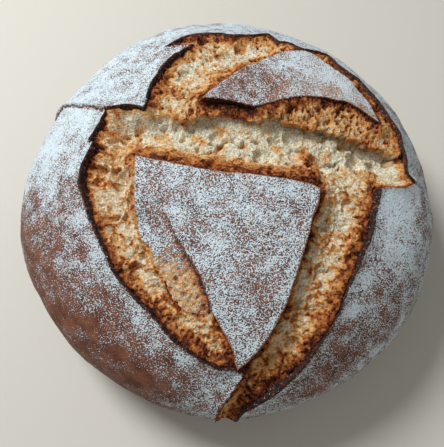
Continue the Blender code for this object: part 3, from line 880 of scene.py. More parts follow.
def crust_height(skin, flat, across):
    """The crust's height outside the opening, over the dome."""
    waves = crust_waves(flat) + mm(skin.shape.lip) * np.exp(-np.maximum(across, 0.0) / 7.0)
    return (waves + lifted_plate(flat, 1.0)) * skin.lowness(flat)


def crust_mesh(skin, detail):
    """The crust's flat points and faces, from its base to the foot of the wall round the opening."""
    hole = skin.hidden_ring(WALL_FOOT)
    rows = [skin.opening.beside(offset) for offset in OPENING_ROWS]
    bearings = np.linspace(0.0, 2 * math.pi, BASE_CORNERS, endpoint=False)
    base = skin.edge * np.column_stack([np.cos(bearings), np.sin(bearings)])
    lines = [closed(base), closed(skin.opening.points), closed(hole.points)]
    cracks = []
    for crack in skin.cracks:
        cracks += [crack.points] + [crack.beside(offset) for offset in CRACK_ROWS]
    fine = grid(mm(detail.crust_step), SIDE_START)
    fine = fine[skin.opening.across(fine) > 1.0]
    coarse = grid(mm(detail.side_step), skin.edge - 1.2)
    coarse = coarse[from_top(coarse) > SIDE_START]
    kept = lines + rows + cracks
    loose = clear_of(np.concatenate([fine, coarse]), kept, 0.62 * mm(detail.crust_step))
    flat, faces = triangulate(lines, [loose] + rows + cracks)
    return flat, faces[~hole.contains(flat[faces].mean(axis=1))]


def crust_surface(skin, detail):
    """The crust's floured skin, its burnt lip and its torn wall, still open below."""
    flat, faces = crust_mesh(skin, detail)
    index = skin.opening.nearest(flat)
    across = skin.opening.across(flat, index)
    wall, _, scorch = along_edges(OPENING_EDGES, mm(detail.edge_step))[:, index]
    wall *= 1.0 + 0.35 * field(flat, 4.0, 2.9, 3)
    wall_width = 0.35 + 0.30 * wall
    down_wall = np.clip(-across / wall_width, 0.0, 1.0)
    drop = (wall + 3.0) * (0.2 * down_wall + 0.8 * down_wall**1.5)
    drop += 2.4 * np.maximum(-across - wall_width, 0.0)
    drop += down_wall * (1.0 - down_wall) * 1.4 * field(flat, 2.2, 41.0, 2)
    groove, dark = crack_groove(skin, flat)
    rolled_edge = 0.3 * swell(across - 0.5, 0.8)
    height = crust_height(skin, flat, across) - drop + rolled_edge - groove * skin.lowness(flat)

    burnt_lip = 0.20 * wall
    torn = ease(1.0 + (0.10 + burnt_lip - across + 0.5 * field(flat, 1.6, 44.0)) / 0.6)
    torn = np.maximum(torn, 0.6 * dark)
    browning = scorch - 0.10 * down_wall**2 + 0.14 * field(flat, 2.0, 46.0, 3)
    flour = flour_cover(flat, 0.60, 0.30) * ease((across + 0.1 - burnt_lip) / 0.7) * (1.0 - 0.8 * dark)
    flour *= between(0.25, 1.0, ease((skin.edge - from_top(flat)) / 30.0))
    return Surface(flat, height, faces, browning=np.clip(browning, 0.0, 1.0), flour=flour, torn=torn)


def close_crust(surface):
    """Closes the crust with its flat base, and with a hidden skirt and floor inside the opening."""
    loops = directed_loops(surface.faces)
    base, rim = sorted(loops, key=lambda loop: -from_top(surface.flat[loop]).min())
    skirt_level, floor_level = CRUST_CAVITY
    rim = surface.skirt(rim, 0.0, skirt_level, browning=0.6, flour=0.0, torn=1.0)
    surface.floor(rim, floor_level, FLOOR_STEP, browning=0.5, flour=0.0, torn=1.0)
    surface.faces.append(tuple(reversed(base)))
    surface.height[base] = 0.0


class CrumbZones:
    """How the kind of crumb varies over the opening, at each of its points."""

    def __init__(self, skin, flat):
        self.terrace_depth = -skin.terrace.across(flat)
        self.on_terrace = ease(self.terrace_depth / 2.0)
        # The pale crumb of the valley, which tore softly
        self.soft = near_line(VALLEY, flat, 12.0, 2.0) * (1.0 - self.on_terrace)
        # Crumb with a sponge's small holes, on the terrace and towards the front
        towards_front = ease((-22.0 - flat[:, 1]) / 20.0)
        self.spongy = between(0.35, 1.0, np.maximum(self.on_terrace, towards_front))
        # Crumb that is pitted all over, on the terrace and behind the flap
        self.pitted = np.maximum(self.on_terrace, near_line(FLAP_BACK, flat, 8.0))


def crumb_ground(skin, flat, zones):
    """The crumb's valley alone, and its large form with the terrace on it."""
    valley = mm(skin.shape.crumb_level) + changes_along(CRUMB_SWELLS, flat)
    terrace = mm(skin.shape.terrace_level) + changes_along(TERRACE_SWELLS, flat)
    ramp = np.interp(flat[:, 0], [-42.0, -18.0], [18.0, 0.5])
    return valley, valley + (terrace - valley) * ease(zones.terrace_depth / ramp + 0.5)


def flap_height(skin, flat):
    """The height of the flap's top, the distance from its fold, and how fully it is folded."""
    shape = skin.shape
    fold = Seam(ragged(smooth(FLAP_FOLD, 0.6), False, 0.3, 90.0))
    across_fold = fold.across(flat)
    folded = ease((FLAP_FOLD[0][1] + 3.0 - flat[:, 1]) / 14.0)
    right_edge = Seam(smooth(FLAP_RIGHT, 1.0)).distance(flat)
    lip = 0.5 * mm(shape.lip) * np.exp(-right_edge / 7.0)
    height = mm(shape.flap_level) + lip + 0.75 * field(flat, 42.0, 5.1, 2)
    return height - mm(shape.strip_drop) * folded * ease(across_fold + 0.5), across_fold, folded


def leaf_height(skin, flat):
    """The height of the leaf's top: its waves and its raised front edge."""
    shape = skin.shape
    front_edge = Seam(smooth(LEAF_FRONT, 1.0)).distance(flat)
    lip = mm(shape.lip) * np.exp(-front_edge / 7.0)
    return mm(shape.leaf_level) + lip + 0.75 * field(flat, 42.0, 8.2, 2)


# At each point of the crumb: the distance to an edge, how far the point lies beneath what the edge
# belongs to, and at the nearest point of the edge the height of its wall's foot, the wall's depth, the
# browning's reach and the scorching, which also set the painted shade in the crevice beside the edge
CrumbEdge = collections.namedtuple("CrumbEdge", "away beneath foot wall reach scorch")


def crumb_edges(skin, flat, step):
    """What the opening and each flap do to the crumb, at each of its points."""
    rim = crust_height(skin, skin.opening.points, np.zeros(len(skin.opening.points)))
    flap, *_ = flap_height(skin, skin.flap.points)
    leaf = leaf_height(skin, skin.leaf.points)
    rings = (
        (skin.opening, rim, OPENING_EDGES, -1.0),
        (skin.flap, flap, FLAP_EDGES, 1.0),
        (skin.leaf, leaf, LEAF_EDGES, 1.0),
    )
    for ring, top, edges, side in rings:
        index = ring.nearest(flat)
        away = side * ring.across(flat, index)
        wall, reach, scorch = along_edges(edges, step)
        yield CrumbEdge(
            away=np.maximum(away, 0.0),
            beneath=np.maximum(-away, 0.0),
            foot=(top - wall)[index],
            wall=wall[index],
            reach=reach[index],
            scorch=scorch[index],
        )


def crumb_mesh(skin, detail):
    """The crumb's flat points and faces, coarser where a flap covers it."""
    step = mm(detail.crumb_step)
    hem = skin.hidden_ring(CRUMB_HEM)
    fine = grid(step, CRUMB_REACH)
    fine = fine[hem.across(fine) < -0.5 * step]
    covered = np.minimum(skin.flap.across(fine), skin.leaf.across(fine)) < -3.0
    coarse = grid(COVERED_STEP, CRUMB_REACH)
    coarse = coarse[hem.across(coarse) < -0.5 * COVERED_STEP]
    coarse = coarse[np.minimum(skin.flap.across(coarse), skin.leaf.across(coarse)) < -3.5]
    flat, faces = triangulate([closed(hem.points)], [fine[~covered], coarse])
    return flat, faces[hem.contains(flat[faces].mean(axis=1))]


class CrumbTears:
    """What is torn open in the crumb: how far inside each kind of hole, from 0 to 1, each point is."""

    def __init__(self, flat, zones):
        warp = 2.2 * wander(flat, 7.0, 51.0, 57.0)
        crinkle = 0.9 * wander(flat, 2.2, 53.0, 59.0)
        self.warp = warp
        self.crinkle = crinkle
        self.holes = pits(flat + 1.6 * warp + crinkle, 6.5, 0.26, 71.0)
        self.hollows = pits(flat + warp + 0.5 * crinkle, 8.0, 0.8, 69.0)
        small = np.maximum(pits(flat + crinkle, 3.1, 0.45, 73.0), pits(flat + crinkle, 1.9, 0.5, 79.0))
        self.small_holes = small * zones.spongy
        self.inside_bubbles = cells(flat + 1.2 * warp + crinkle, 5.4, 63.0)
        self.inside_small_bubbles = cells(flat + warp + crinkle, 2.5, 67.0)
        self.bubbly = mostly(field(flat, 11.0, 61.0, 2), -0.6, 0.5)
        self.finely_bubbly = mostly(field(flat, 7.0, 62.0, 2), -0.6, 0.6)
        self.pockets = pockets(flat + 0.6 * warp, 9.0, 64.0) * zones.soft
        firm = between(1.0, 0.5, zones.pitted) * between(1.0, 0.4, zones.soft)
        self.small_pockets = pockets(flat + 0.6 * warp, 3.4, 68.0) * firm


def crumb_relief(flat, zones, tears):
    """The torn crumb's relief without its largest bubbles, and how raised each point is in it."""
    soft, pitted = zones.soft, zones.pitted
    bubble_depth = between(1.5, 0.4, soft) * between(1.0, 0.3, pitted)
    small_bubble_depth = between(0.9, 0.2, soft) * between(1.0, 0.6, pitted)
    pocket_depth, small_pocket_depth, hollow_depth = 3.2, 0.9, 0.8
    hole_depth = between(2.2, 3.2, soft)
    small_hole_depth = between(0.9, 1.4, pitted)
    stretched = (flat + tears.warp) * (0.72, 1.0)
    brow = 0.7 * swell(zones.terrace_depth - 0.8, 1.0)

    relief = 0.8 + 0.5 * ridges(stretched, 9.0, 63.0) * between(1.0, 0.15, soft) + brow
    relief -= bubble_depth * tears.inside_bubbles * tears.bubbly
    relief -= small_bubble_depth * tears.inside_small_bubbles * tears.finely_bubbly
    relief -= pocket_depth * tears.pockets + small_pocket_depth * tears.small_pockets
    relief += between(0.4, 0.3, soft) * field(flat, 5.0, 65.0, 3)
    relief += between(0.26, 0.10, soft) * field(flat, 1.1, 77.0, 2)
    relief -= hollow_depth * np.sqrt(tears.hollows) * soft
    raised = np.clip((relief - relief.mean()) / relief.std(), -2.0, 2.0)
    relief -= hole_depth * np.sqrt(tears.holes) + small_hole_depth * np.sqrt(tears.small_holes)
    return relief, raised


def large_bubbles(flat, tears, relief):
    """The relief with its largest bubbles torn open in it, and how far inside one each point is."""
    u_place, v_place = (flat + 0.9 * tears.warp).T
    u_place = u_place + tears.crinkle[:, 0]
    inside_any = np.zeros(len(flat))
    for u, v, radius, depth in BUBBLES:
        away = np.hypot(u_place - u, v_place - v) / radius
        inside = np.sqrt(np.maximum(0.0, 1.0 - away**2))
        rim = 0.5 * swell(away - 1.0, 0.12)
        relief = (relief + rim) * (1.0 - 0.5 * inside) - depth * inside
        inside_any = np.maximum(inside_any, inside)
    return relief, inside_any


def edge_browning(flat, edges):
    """How browned the crumb is beside the edges, how far char and painted crevice shade darken it there,
    and how free its relief is of them.
    """
    browning = np.zeros(len(flat))
    charred_and_shaded = np.zeros(len(flat))
    free = np.ones(len(flat))
    uneven = 1.0 + 0.55 * field(flat, 5.0, 85.0, 3)
    for edge in edges:
        band = 1.0 - ease((edge.away * uneven / edge.reach - 0.55) / 0.7)
        # The char beside a deep wall or under a flap's edge is partly real scorching and partly painted
        # shade in the crevice; its reach grows with the wall's depth
        char_reach = 0.10 * edge.reach + 0.28 * edge.wall
        burnt = np.exp(-edge.away * (0.5 + 0.5 * uneven) / char_reach) * ease(2.2 * edge.scorch - 0.8)
        browning += 0.46 * burnt + 0.29 * band
        charred_and_shaded = np.maximum(charred_and_shaded, burnt)
        free *= 1.0 - 0.75 * np.exp(-edge.away / 2.0) / (1.0 + 0.4 * edge.wall)
    return browning, charred_and_shaded, free


def overhanging_brow(skin, flat, zones, rise, free):
    """How far each point slides over the skin, as the terrace's brow leans out over the valley."""
    lean = np.interp(zones.terrace_depth, [-3.0, -0.6, 0.3, 5.0], [0.0, -1.8, 2.8, 0.0])
    lean *= free**2 * ease(rise / 2.0 + (zones.terrace_depth < 0)) * ease((flat[:, 0] + 32.0) / 14.0)
    return skin.terrace.normals[skin.terrace.nearest(flat)] * lean[:, None]


def crumb_mottling_and_hole_shade(flat, zones, tears, raised):
    """How browned the crumb's crests are, with painted shade in its holes, away from its edges."""
    soft, pitted = zones.soft, zones.pitted
    crests = np.maximum(
        (1.0 - tears.inside_bubbles) * tears.bubbly,
        (1.0 - tears.inside_small_bubbles) * tears.finely_bubbly,
    )
    caps = 0.55 * raised + 0.8 * crests
    caps += 0.5 * field(flat, 1.8, 83.0, 3) + 0.8 * field(flat, 10.0, 87.0, 2)
    golden_patches = soft * mostly(field(flat + 0.6 * tears.warp, 9.0, 91.0, 3), 0.12, 0.3)
    mottling_and_hole_shade = (0.46 - 0.32 * soft - 0.20 * pitted) * mostly(caps, 0.3, 1.2)
    # The small holes and the holes are darkened as painted shade inside them
    mottling_and_hole_shade += between(0.14, 0.50, pitted) * tears.small_holes * (1.0 - soft)
    return mottling_and_hole_shade + 0.20 * tears.holes + 0.26 * golden_patches


def crumb_surface(skin, detail):
    """The torn crumb with its hidden skirt and floor, and how far each point slides over the skin."""
    flat, faces = crumb_mesh(skin, detail)
    zones = CrumbZones(skin, flat)
    tears = CrumbTears(flat, zones)
    relief, raised = crumb_relief(flat, zones, tears)
    relief, inside_bubble = large_bubbles(flat, tears, relief)
    edges = list(crumb_edges(skin, flat, mm(detail.edge_step)))
    # baked holds the edges' browning together with the painted crevice shade beside them
    baked, charred_and_shaded, free = edge_browning(flat, edges)

    valley, ground = crumb_ground(skin, flat, zones)
    slide = overhanging_brow(skin, flat, zones, ground - valley, free)
    height = ground + between(1.2, 0.7, zones.soft) * field(flat, 12.0, 75.0, 3)
    for edge in edges:
        near = np.exp(-((edge.away / 6.0) ** 1.5))
        height += near * (edge.foot - height) - 5.0 * ease(edge.beneath / 3.0)
    height += relief * free - 3.4 * near_line(LEAF_HOLLOW, flat, 2.6)

    brow = ease(zones.terrace_depth + 0.5) * (0.12 + 0.12 * field(flat, 3.2, 93.0, 3))
    beneath_brow = swell(zones.terrace_depth + 2.2, 2.4) * ease(0.4 - zones.terrace_depth)
    streaky = 1.0 + 0.9 * field(flat, 2.6, 88.0, 3)
    # The value handed to the material holds real browning and the painted shade in holes, pockets and
    # crevices
    browning = baked + 0.04 + 0.05 * field(flat, 16.0, 81.0, 2)
    browning += crumb_mottling_and_hole_shade(flat, zones, tears, raised) * (1.0 - 0.7 * charred_and_shaded)
    browning += streaky * changes_along(BROWNED, flat) + brow - 0.12 * beneath_brow
    # The torn pockets are browned as painted warm shade inside them; the large bubbles are made paler
    browning += 0.34 * tears.pockets - 0.10 * inside_bubble
    browning = np.clip(np.minimum(browning, 0.80 + 0.15 * charred_and_shaded**4), 0.0, 1.0)

    surface = Surface(flat, height, faces, browning=browning)
    skirt_level, floor_level = CRUMB_CAVITY
    loop = surface.skirt(directed_loops(surface.faces)[0], 0.0, skirt_level, browning=0.4)
    surface.floor(loop, floor_level, FLOOR_STEP, browning=0.4)
    hidden = np.zeros((len(surface.flat) - len(slide), 2))
    return surface, np.concatenate([slide, hidden])


def plate_surface(ring, step):
    """A plate's flat points and faces, their distance from its edge and how far its lip rounds down."""
    rows = [ring.beside(offset) for offset in PLATE_ROWS]
    lip_width = -min(PLATE_ROWS)
    loose = grid(step, PLATE_REACH)
    loose = loose[ring.across(loose) < -lip_width - 0.5 * step]
    flat, faces = triangulate([closed(line) for line in (ring.points, *rows)], [loose])
    faces = faces[ring.contains(flat[faces].mean(axis=1))]
    inside = -ring.across(flat)
    rounding = -0.55 * (1.0 - ease(inside / lip_width)) ** 2
    return flat, faces, inside, rounding


def evened(values, reach):
    """Values round a ring, each averaged with its neighbours."""
    return np.mean([np.roll(values, shift, axis=0) for shift in range(-reach, reach + 1)], axis=0)


def clear_of_corners(ring):
    """At each point of a ring, 1 where it runs on smoothly, fading to 0 at a sharp corner."""
    before = ring - np.roll(ring, 3, axis=0)
    after = np.roll(ring, -3, axis=0) - ring
    lengths = np.linalg.norm(before, axis=1) * np.linalg.norm(after, axis=1)
    clear = ease(((before * after).sum(axis=1) / lengths - 0.2) / 0.4)
    return evened(np.min([np.roll(clear, shift) for shift in range(-6, 7)], axis=0), 3)


def plate_wall(surface, thickness, scorch, seed):
    """A torn, scorched wall below a plate, and its underside."""
    loop = directed_loops(surface.faces)[0]
    flat = surface.flat[loop]
    height = surface.height[loop]
    bumpy = field(flat, 2.0, seed, 2)
    scorch = scorch[loop] + 0.10 * field(flat, 5.0, seed + 2.0, 2)
    inward = evened(-side_normals(flat, True), 5) * clear_of_corners(flat)[:, None]
    for inset, hollow, depth, lighter in WALL_ROWS:
        browned = np.clip(scorch - lighter, 0.0, 1.0)
        inset = inset + hollow * bumpy
        level = height - depth * thickness
        loop = surface.skirt(loop, inset, level, inward, browning=browned, flour=0.0, torn=1.0)
    underside = float(height.min()) - thickness
    surface.floor(loop, underside, PLATE_FLOOR_STEP, browning=0.8, flour=0.0, torn=1.0)


def flap_surface(skin, detail):
    """The three-cornered flap, with its fold and the lower strip on the fold's left."""
    flat, faces, inside, rounding = plate_surface(skin.flap, mm(detail.flap_step))
    height, across_fold, folded = flap_height(skin, flat)
    left = ease(across_fold + 0.5)
    bare = left * ease((-47.0 - flat[:, 1]) / 18.0 + 0.3 * field(flat, 5.0, 94.0, 3))
    crests = ridges(flat, 2.4, 95.0)
    holes = pits(flat + 0.8 * field(flat, 2.0, 93.0)[:, None], 2.2, 0.6, 96.0)
    height += rounding + 0.12 * field(flat, 2.4, 92.0, 2)
    height += bare * (0.6 * crests - 1.0 * np.sqrt(holes) - 0.3)

    # A dark band without flour beside the fold: painted shade beneath the raised flap's step
    shaded_fold_band = swell(np.maximum(across_fold - 0.1, 0.0), 2.4) * folded * (across_fold > -0.8)
    edge = 1.0 - ease((inside - 0.1 + 0.25 * field(flat, 1.8, 97.0)) / 0.5)
    mottled = mostly(0.5 * crests + 0.9 * field(flat, 1.6, 98.0, 3), -0.2, 0.9)
    scorch = scorch_beside(skin.flap, FLAP_EDGES, mm(detail.edge_step), flat)
    # The bare strip's holes are browned as painted shade inside them
    browning = 0.26 + 0.32 * mottled + 0.30 * holes + 0.5 * shaded_fold_band
    flour = flour_cover(flat, 0.62, 0.10) * ease((inside - 0.1) / 0.6) * (1.0 - 0.5 * bare)
    flour -= 0.3 * shaded_fold_band + 0.04 * left * folded
    surface = Surface(
        flat,
        height,
        faces,
        browning=np.maximum(browning, scorch * edge),
        flour=np.clip(flour, 0.0, 1.0),
        torn=np.maximum.reduce([edge, bare, 0.6 * shaded_fold_band]),
    )
    plate_wall(surface, FLAP_THICKNESS, scorch, 99.0)
    return surface


def leaf_surface(skin, detail):
    """The long leaf of crust behind the terrace, lifted along its front edge."""
    flat, faces, inside, rounding = plate_surface(skin.leaf, mm(detail.flap_step))
    height = leaf_height(skin, flat) + rounding + 0.14 * field(flat, 2.4, 102.0, 2)
    edge = 1.0 - ease((inside - 0.1 + 0.3 * field(flat, 1.8, 107.0)) / 0.6)
    scorch = scorch_beside(skin.leaf, LEAF_EDGES, mm(detail.edge_step), flat)
    golden = 0.5 * ease((flat[:, 0] - 10.0) / 50.0)
    flour = flour_cover(flat, 0.56, 0.20) * ease((inside - 0.1) / 0.7)
    surface = Surface(
        flat,
        height,
        faces,
        browning=between(0.42, scorch, edge),
        flour=np.clip(flour, 0.0, 1.0),
        torn=np.maximum(edge, golden),
    )
    plate_wall(surface, LEAF_THICKNESS, scorch, 109.0)
    return surface


# Materials


class NodeTree:
    """A node tree in the making, whose nodes are given values or other nodes' outputs."""

    def __init__(self, tree):
        self.tree = tree

    def add(self, kind, inputs=None, **settings):
        """A new node with its inputs given and its settings made."""
        node = self.tree.nodes.new(kind)
        for name, value in settings.items():
            setattr(node, name, value)
        for name, value in (inputs or {}).items():
            self.give(node.inputs[name], value)
        return node

    def give(self, socket, value):
        """Links another node's output to the socket, or sets its value."""
        if isinstance(value, bpy.types.NodeSocket):
            self.tree.links.new(value, socket)
        else:
            socket.default_value = value

    def math(self, operation, first, second, clamp=False):
        inputs = {0: first, 1: second}
        return self.add("ShaderNodeMath", inputs, operation=operation, use_clamp=clamp).outputs[0]

    def plus(self, first, second, clamp=False):
        return self.math("ADD", first, second, clamp)

    def minus(self, first, second):
        return self.math("SUBTRACT", first, second)

    def times(self, first, second):
        return self.math("MULTIPLY", first, second)

    def noise(self, vector, scale, detail, roughness):
        inputs = {"Vector": vector, "Scale": scale, "Detail": detail, "Roughness": roughness}
        return self.add("ShaderNodeTexNoise", inputs).outputs["Fac"]

    def span(self, value, low, high):
        """From 0 at the low value to 1 at the high one, eased."""
        inputs = {"Value": value, "From Min": low, "From Max": high}
        return self.add("ShaderNodeMapRange", inputs, interpolation_type="SMOOTHSTEP").outputs["Result"]

    def mix(self, factor, first, second):
        """The first colour turned into the second one by the factor."""
        node = self.add("ShaderNodeMix", data_type="RGBA")
        self.give(node.inputs["Factor"], factor)
        self.give(node.inputs["A"], first)
        self.give(node.inputs["B"], second)
        return node.outputs["Result"]

    def attribute(self, name):
        """The value of that name that the surface has at each point."""
        return self.add("ShaderNodeAttribute", attribute_name=name).outputs["Fac"]

    def place(self):
        return self.add("ShaderNodeTexCoord").outputs["Object"]

    def group(self, group, inputs):
        """A node group's outputs, with its inputs given."""
        return self.add("ShaderNodeGroup", node_tree=group, inputs=inputs).outputs


def rgba(colour):
    """A colour with full opacity."""
    return (*colour, 1.0)


def new_group(name, inputs, outputs):
    """A new shader node group as a NodeTree, with its inputs to read and its outputs to fill."""
    group = bpy.data.node_groups.new(name, "ShaderNodeTree")
    for socket_name, socket_type in inputs:
        group.interface.new_socket(name=socket_name, in_out="INPUT", socket_type=socket_type)
    for socket_name, socket_type in outputs:
        group.interface.new_socket(name=socket_name, in_out="OUTPUT", socket_type=socket_type)
    nodes = NodeTree(group)
    return nodes, nodes.add("NodeGroupInput").outputs, nodes.add("NodeGroupOutput").inputs


def baked_crumb_group(colours):
    """The colour of crumb by how far it is browned and painted with shade, with grain at two sizes and
    pores darkened as painted shade.
    """
    group = bpy.data.node_groups.get("Baked crumb")
    if group:
        return group
    nodes, given, result = new_group(
        "Baked crumb",
        [
            ("Browning and shade", "NodeSocketFloat"),
            ("Place", "NodeSocketVector"),
            ("Unevenness", "NodeSocketFloat"),
        ],
        [("Colour", "NodeSocketColor"), ("Height", "NodeSocketFloat")],
    )
    browning, place, unevenness = given["Browning and shade"], given["Place"], given["Unevenness"]
    coarse = nodes.noise(place, 500.0, 3.0, 0.7)
    fine = nodes.noise(place, 1050.0, 2.0, 0.65)
    grain = nodes.plus(nodes.times(coarse, 0.5), nodes.times(fine, 0.5))
    uneven = nodes.times(nodes.minus(grain, 0.5), unevenness)
    uneven = nodes.times(uneven, nodes.plus(nodes.times(browning, 1.1), 0.10))
    # Pores: small pits, lowered in the bump and darkened in colour as painted shade inside them
    pore_cells = nodes.add("ShaderNodeTexVoronoi", {"Vector": place, "Scale": 640.0})
    shaded_pores = nodes.span(pore_cells.outputs["Distance"], 0.42, 0.16)
    shaded_pores = nodes.times(shaded_pores, nodes.span(browning, 0.06, 0.40))
    uneven = nodes.plus(uneven, nodes.times(shaded_pores, 0.14))
    browned = nodes.plus(browning, uneven, clamp=True)
    ramp = nodes.add("ShaderNodeValToRGB", {"Fac": browned})
    stops = (
        (0.0, colours.pale_crumb),
        (0.08, colours.pale_crumb),
        (0.34, colours.golden_crumb),
        (0.60, colours.toasted_crumb),
        (0.80, colours.dark_crumb),
        (0.95, colours.burnt_and_shaded_crumb),
    )
    elements = ramp.color_ramp.elements
    while len(elements) < len(stops):
        elements.new(0.5)
    for element, (position, colour) in zip(elements, stops):
        element.position = position
        element.color = rgba(colour)
    speckled = nodes.times(nodes.minus(fine, 0.5), nodes.times(unevenness, 1.5))
    shading = {0: ramp.outputs["Color"], "Scale": nodes.plus(speckled, 1.0)}
    shade = nodes.add("ShaderNodeVectorMath", shading, operation="SCALE")
    nodes.give(result["Colour"], shade.outputs["Vector"])
    rough = nodes.plus(nodes.times(coarse, 0.3), nodes.times(fine, 0.7))
    nodes.give(result["Height"], nodes.minus(rough, nodes.times(shaded_pores, 0.25)))
    return nodes.tree


def flour_group():
    """Flour lying in grains and clumps: its mask and its height, by how much of the skin it covers."""
    group = bpy.data.node_groups.get("Flour dusting")
    if group:
        return group
    nodes, given, result = new_group(
        "Flour dusting",
        [("Cover", "NodeSocketFloat"), ("Place", "NodeSocketVector")],
        [("Mask", "NodeSocketFloat"), ("Height", "NodeSocketFloat")],
    )
    cover, place = given["Cover"], given["Place"]
    grains = nodes.noise(place, 1800.0, 0.0, 0.5)
    clumps = nodes.noise(place, 900.0, 1.0, 0.5)
    drifts = nodes.noise(place, 230.0, 3.0, 0.7)
    pattern = nodes.plus(nodes.times(grains, 0.55), nodes.times(clumps, 0.31))
    pattern = nodes.plus(pattern, nodes.times(drifts, 0.14))
    level = nodes.minus(nodes.plus(pattern, nodes.times(cover, 0.40)), 0.705)
    specks = nodes.times(nodes.span(grains, 0.57, 0.70), nodes.span(cover, 0.0, 0.4))
    lying = nodes.times(nodes.span(level, -0.065, 0.065), nodes.span(clumps, -0.05, 0.5))
    mask = nodes.math("MAXIMUM", lying, specks)
    nodes.give(result["Mask"], mask)
    nodes.give(result["Height"], nodes.times(mask, nodes.plus(grains, 0.4)))
    return nodes.tree


def new_material(name, roughness, shine):
    """A material with its nodes as a NodeTree and its shader, both still to be given their colours."""
    material = bpy.data.materials.new(name)
    material.use_nodes = True
    shader = material.node_tree.nodes["Principled BSDF"]
    shader.inputs["Roughness"].default_value = roughness
    shader.inputs["Specular IOR Level"].default_value = shine
    return material, NodeTree(material.node_tree), shader


def floured_crust_material(colours):
    """Brown crust under baked-on flour, burnt and bare at its torn edges."""
    material, nodes, shader = new_material("floured crust", 0.6, 0.15)
    place = nodes.place()
    crust_tone = nodes.span(nodes.noise(place, 130.0, 4.0, 0.6), 0.3, 0.7)
    crust = nodes.mix(crust_tone, rgba(colours.crust), rgba(colours.crust_light))
    crumb = {"Browning and shade": nodes.attribute("browning"), "Place": place, "Unevenness": 1.8}
    baked = nodes.group(baked_crumb_group(colours), crumb)
    bare = nodes.mix(nodes.attribute("torn"), crust, baked["Colour"])
    flour = nodes.group(flour_group(), {"Cover": nodes.attribute("flour"), "Place": place})
    dusted = nodes.mix(nodes.times(flour["Mask"], 0.94), bare, rgba(colours.flour))
    height = nodes.plus(flour["Height"], nodes.times(baked["Height"], 1.4))
    bump = nodes.add("ShaderNodeBump", {"Height": height, "Strength": 0.8, "Distance": 0.0005})
    nodes.give(shader.inputs["Base Color"], dusted)
    nodes.give(shader.inputs["Roughness"], nodes.plus(nodes.times(flour["Mask"], 0.35), 0.6))
    nodes.give(shader.inputs["Normal"], bump.outputs["Normal"])
    return material


def torn_crumb_material(colours):
    """Soft torn crumb, browned on its ridges."""
    material, nodes, shader = new_material("torn crumb", 0.8, 0.1)
    crumb = {"Browning and shade": nodes.attribute("browning"), "Place": nodes.place(), "Unevenness": 1.6}
    baked = nodes.group(baked_crumb_group(colours), crumb)
    relief = {"Height": baked["Height"], "Strength": 1.0, "Distance": 0.0017}
    bump = nodes.add("ShaderNodeBump", relief)
    nodes.give(shader.inputs["Base Color"], baked["Colour"])
    nodes.give(shader.inputs["Normal"], bump.outputs["Normal"])
    shader.inputs["Subsurface Weight"].default_value = 0.15
    shader.inputs["Subsurface Radius"].default_value = (1.0, 0.6, 0.3)
    shader.inputs["Subsurface Scale"].default_value = 0.0015
    return material


def finish_with(piece, name, make):
    """Gives a piece the material of that name, which is made when the first piece asks for it."""
    material = bpy.data.materials.get(name) or make(bpy.context.scene.loaf_colours)
    piece.data.materials.append(material)


# Operators


class LoafOperator:
    """What the operators that add a piece of the loaf share."""

    bl_options = {"REGISTER", "UNDO"}

    def skin(self, context):
        return Skin(context.scene.loaf_shape, context.scene.loaf_detail)


class MESH_OT_loaf_crust(LoafOperator, bpy.types.Operator):
    """Add the floured crust, from the flat base to the burnt wall round the opening"""

    bl_idname = "mesh.loaf_crust"
    bl_label = "Crust"

    def execute(self, context):
        skin = self.skin(context)
        surface = crust_surface(skin, context.scene.loaf_detail)
        close_crust(surface)
        piece = surface.make("crust", skin)
        finish_with(piece, "floured crust", floured_crust_material)
        return {"FINISHED"}


class MESH_OT_loaf_crumb(LoafOperator, bpy.types.Operator):
    """Add the torn crumb that fills the opening"""

    bl_idname = "mesh.loaf_crumb"
    bl_label = "Crumb"

    def execute(self, context):
        skin = self.skin(context)
        surface, slide = crumb_surface(skin, context.scene.loaf_detail)
        piece = surface.make("crumb", skin, slide)
        finish_with(piece, "torn crumb", torn_crumb_material)
        return {"FINISHED"}


class MESH_OT_loaf_flaps(LoafOperator, bpy.types.Operator):
    """Add the three-cornered flap in the middle and the leaf behind it"""

    bl_idname = "mesh.loaf_flaps"
    bl_label = "Flaps"

    def execute(self, context):
        skin = self.skin(context)
        for name, surface in (("centre_flap", flap_surface), ("leaf_flap", leaf_surface)):
            piece = surface(skin, context.scene.loaf_detail).make(name, skin)
            finish_with(piece, "floured crust", floured_crust_material)
        return {"FINISHED"}


def floor_material():
    """The pale floor that the loaf stands on."""
    material, _, shader = new_material("pale floor", 0.7, 0.5)
    shader.inputs["Base Color"].default_value = (0.62, 0.56, 0.48, 1.0)
    return material


def turn_to(thing, aim):
    """Turns a light or a camera so that it looks at a point."""
    direction = Vector(aim) - thing.location
    thing.rotation_euler = direction.to_track_quat("-Z", "Y").to_euler()


def add_light(name, place, diameter, power, colour):
    """A disk light that shines on the loaf."""
    bpy.ops.object.light_add(type="AREA", location=place)
    light = bpy.context.object
    light.name = name
    turn_to(light, LIGHTS_AIM)
    light.data.shape = "DISK"
    light.data.size = diameter
    light.data.energy = power
    light.data.color = colour


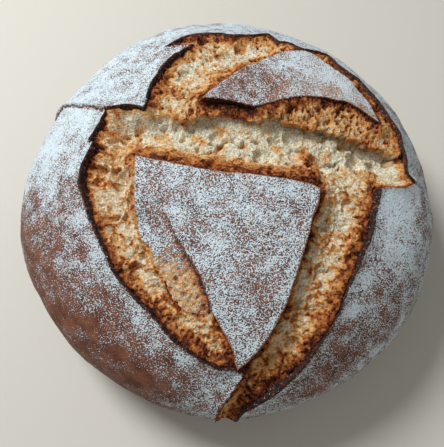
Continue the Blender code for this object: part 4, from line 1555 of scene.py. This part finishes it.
class SCENE_OT_loaf_stage(bpy.types.Operator):
    """Add the floor, the lights and the camera"""

    bl_idname = "scene.loaf_stage"
    bl_label = "Stage"

    def execute(self, context):
        bpy.ops.object.select_all(action="DESELECT")
        bpy.ops.mesh.primitive_plane_add(size=FLOOR_SIZE, location=(0.0, 0.0, 0.0))
        floor = context.object
        floor.name = "floor"
        floor.data.materials.append(floor_material())
        for light in LIGHTS:
            add_light(*light)
        world = bpy.data.worlds.new("studio")
        world.use_nodes = True
        background = world.node_tree.nodes["Background"]
        background.inputs["Color"].default_value = rgba(WORLD_COLOUR)
        background.inputs["Strength"].default_value = WORLD_STRENGTH
        context.scene.world = world
        context.scene.view_settings.view_transform = "Standard"
        bpy.ops.object.camera_add(location=CAMERA_PLACE)
        camera = context.object
        turn_to(camera, CAMERA_AIM)
        camera.data.sensor_width = SENSOR_WIDTH
        camera.data.lens = LENS_LENGTH
        camera.data.clip_start = 0.01
        context.scene.camera = camera
        return {"FINISHED"}


class VIEW3D_PT_loaf(bpy.types.Panel):
    """The loaf's sizes and colours, and a button for each operator"""

    bl_label = "Rye sourdough loaf"
    bl_space_type = "VIEW_3D"
    bl_region_type = "UI"
    bl_category = "Loaf"

    def draw(self, context):
        for group_name, group in SETTINGS.items():
            settings = getattr(context.scene, group_name)
            column = self.layout.column()
            for name in group.__annotations__:
                column.prop(settings, name)
        for operator in OPERATORS:
            self.layout.operator(operator.bl_idname)


SETTINGS = {"loaf_shape": LoafShape, "loaf_colours": LoafColours, "loaf_detail": LoafDetail}
OPERATORS = (MESH_OT_loaf_crust, MESH_OT_loaf_crumb, MESH_OT_loaf_flaps, SCENE_OT_loaf_stage)


def register():
    for settings in SETTINGS.values():
        bpy.utils.register_class(settings)
    for operator in OPERATORS:
        bpy.utils.register_class(operator)
    bpy.utils.register_class(VIEW3D_PT_loaf)
    for name, settings in SETTINGS.items():
        setattr(bpy.types.Scene, name, bpy.props.PointerProperty(type=settings))


def unregister():
    for name in SETTINGS:
        delattr(bpy.types.Scene, name)
    bpy.utils.unregister_class(VIEW3D_PT_loaf)
    for operator in reversed(OPERATORS):
        bpy.utils.unregister_class(operator)
    for settings in reversed(SETTINGS.values()):
        bpy.utils.unregister_class(settings)


def main():
    register()
    bpy.ops.mesh.loaf_crust()
    bpy.ops.mesh.loaf_crumb()
    bpy.ops.mesh.loaf_flaps()
    bpy.ops.scene.loaf_stage()


if __name__ == "__main__":
    main()
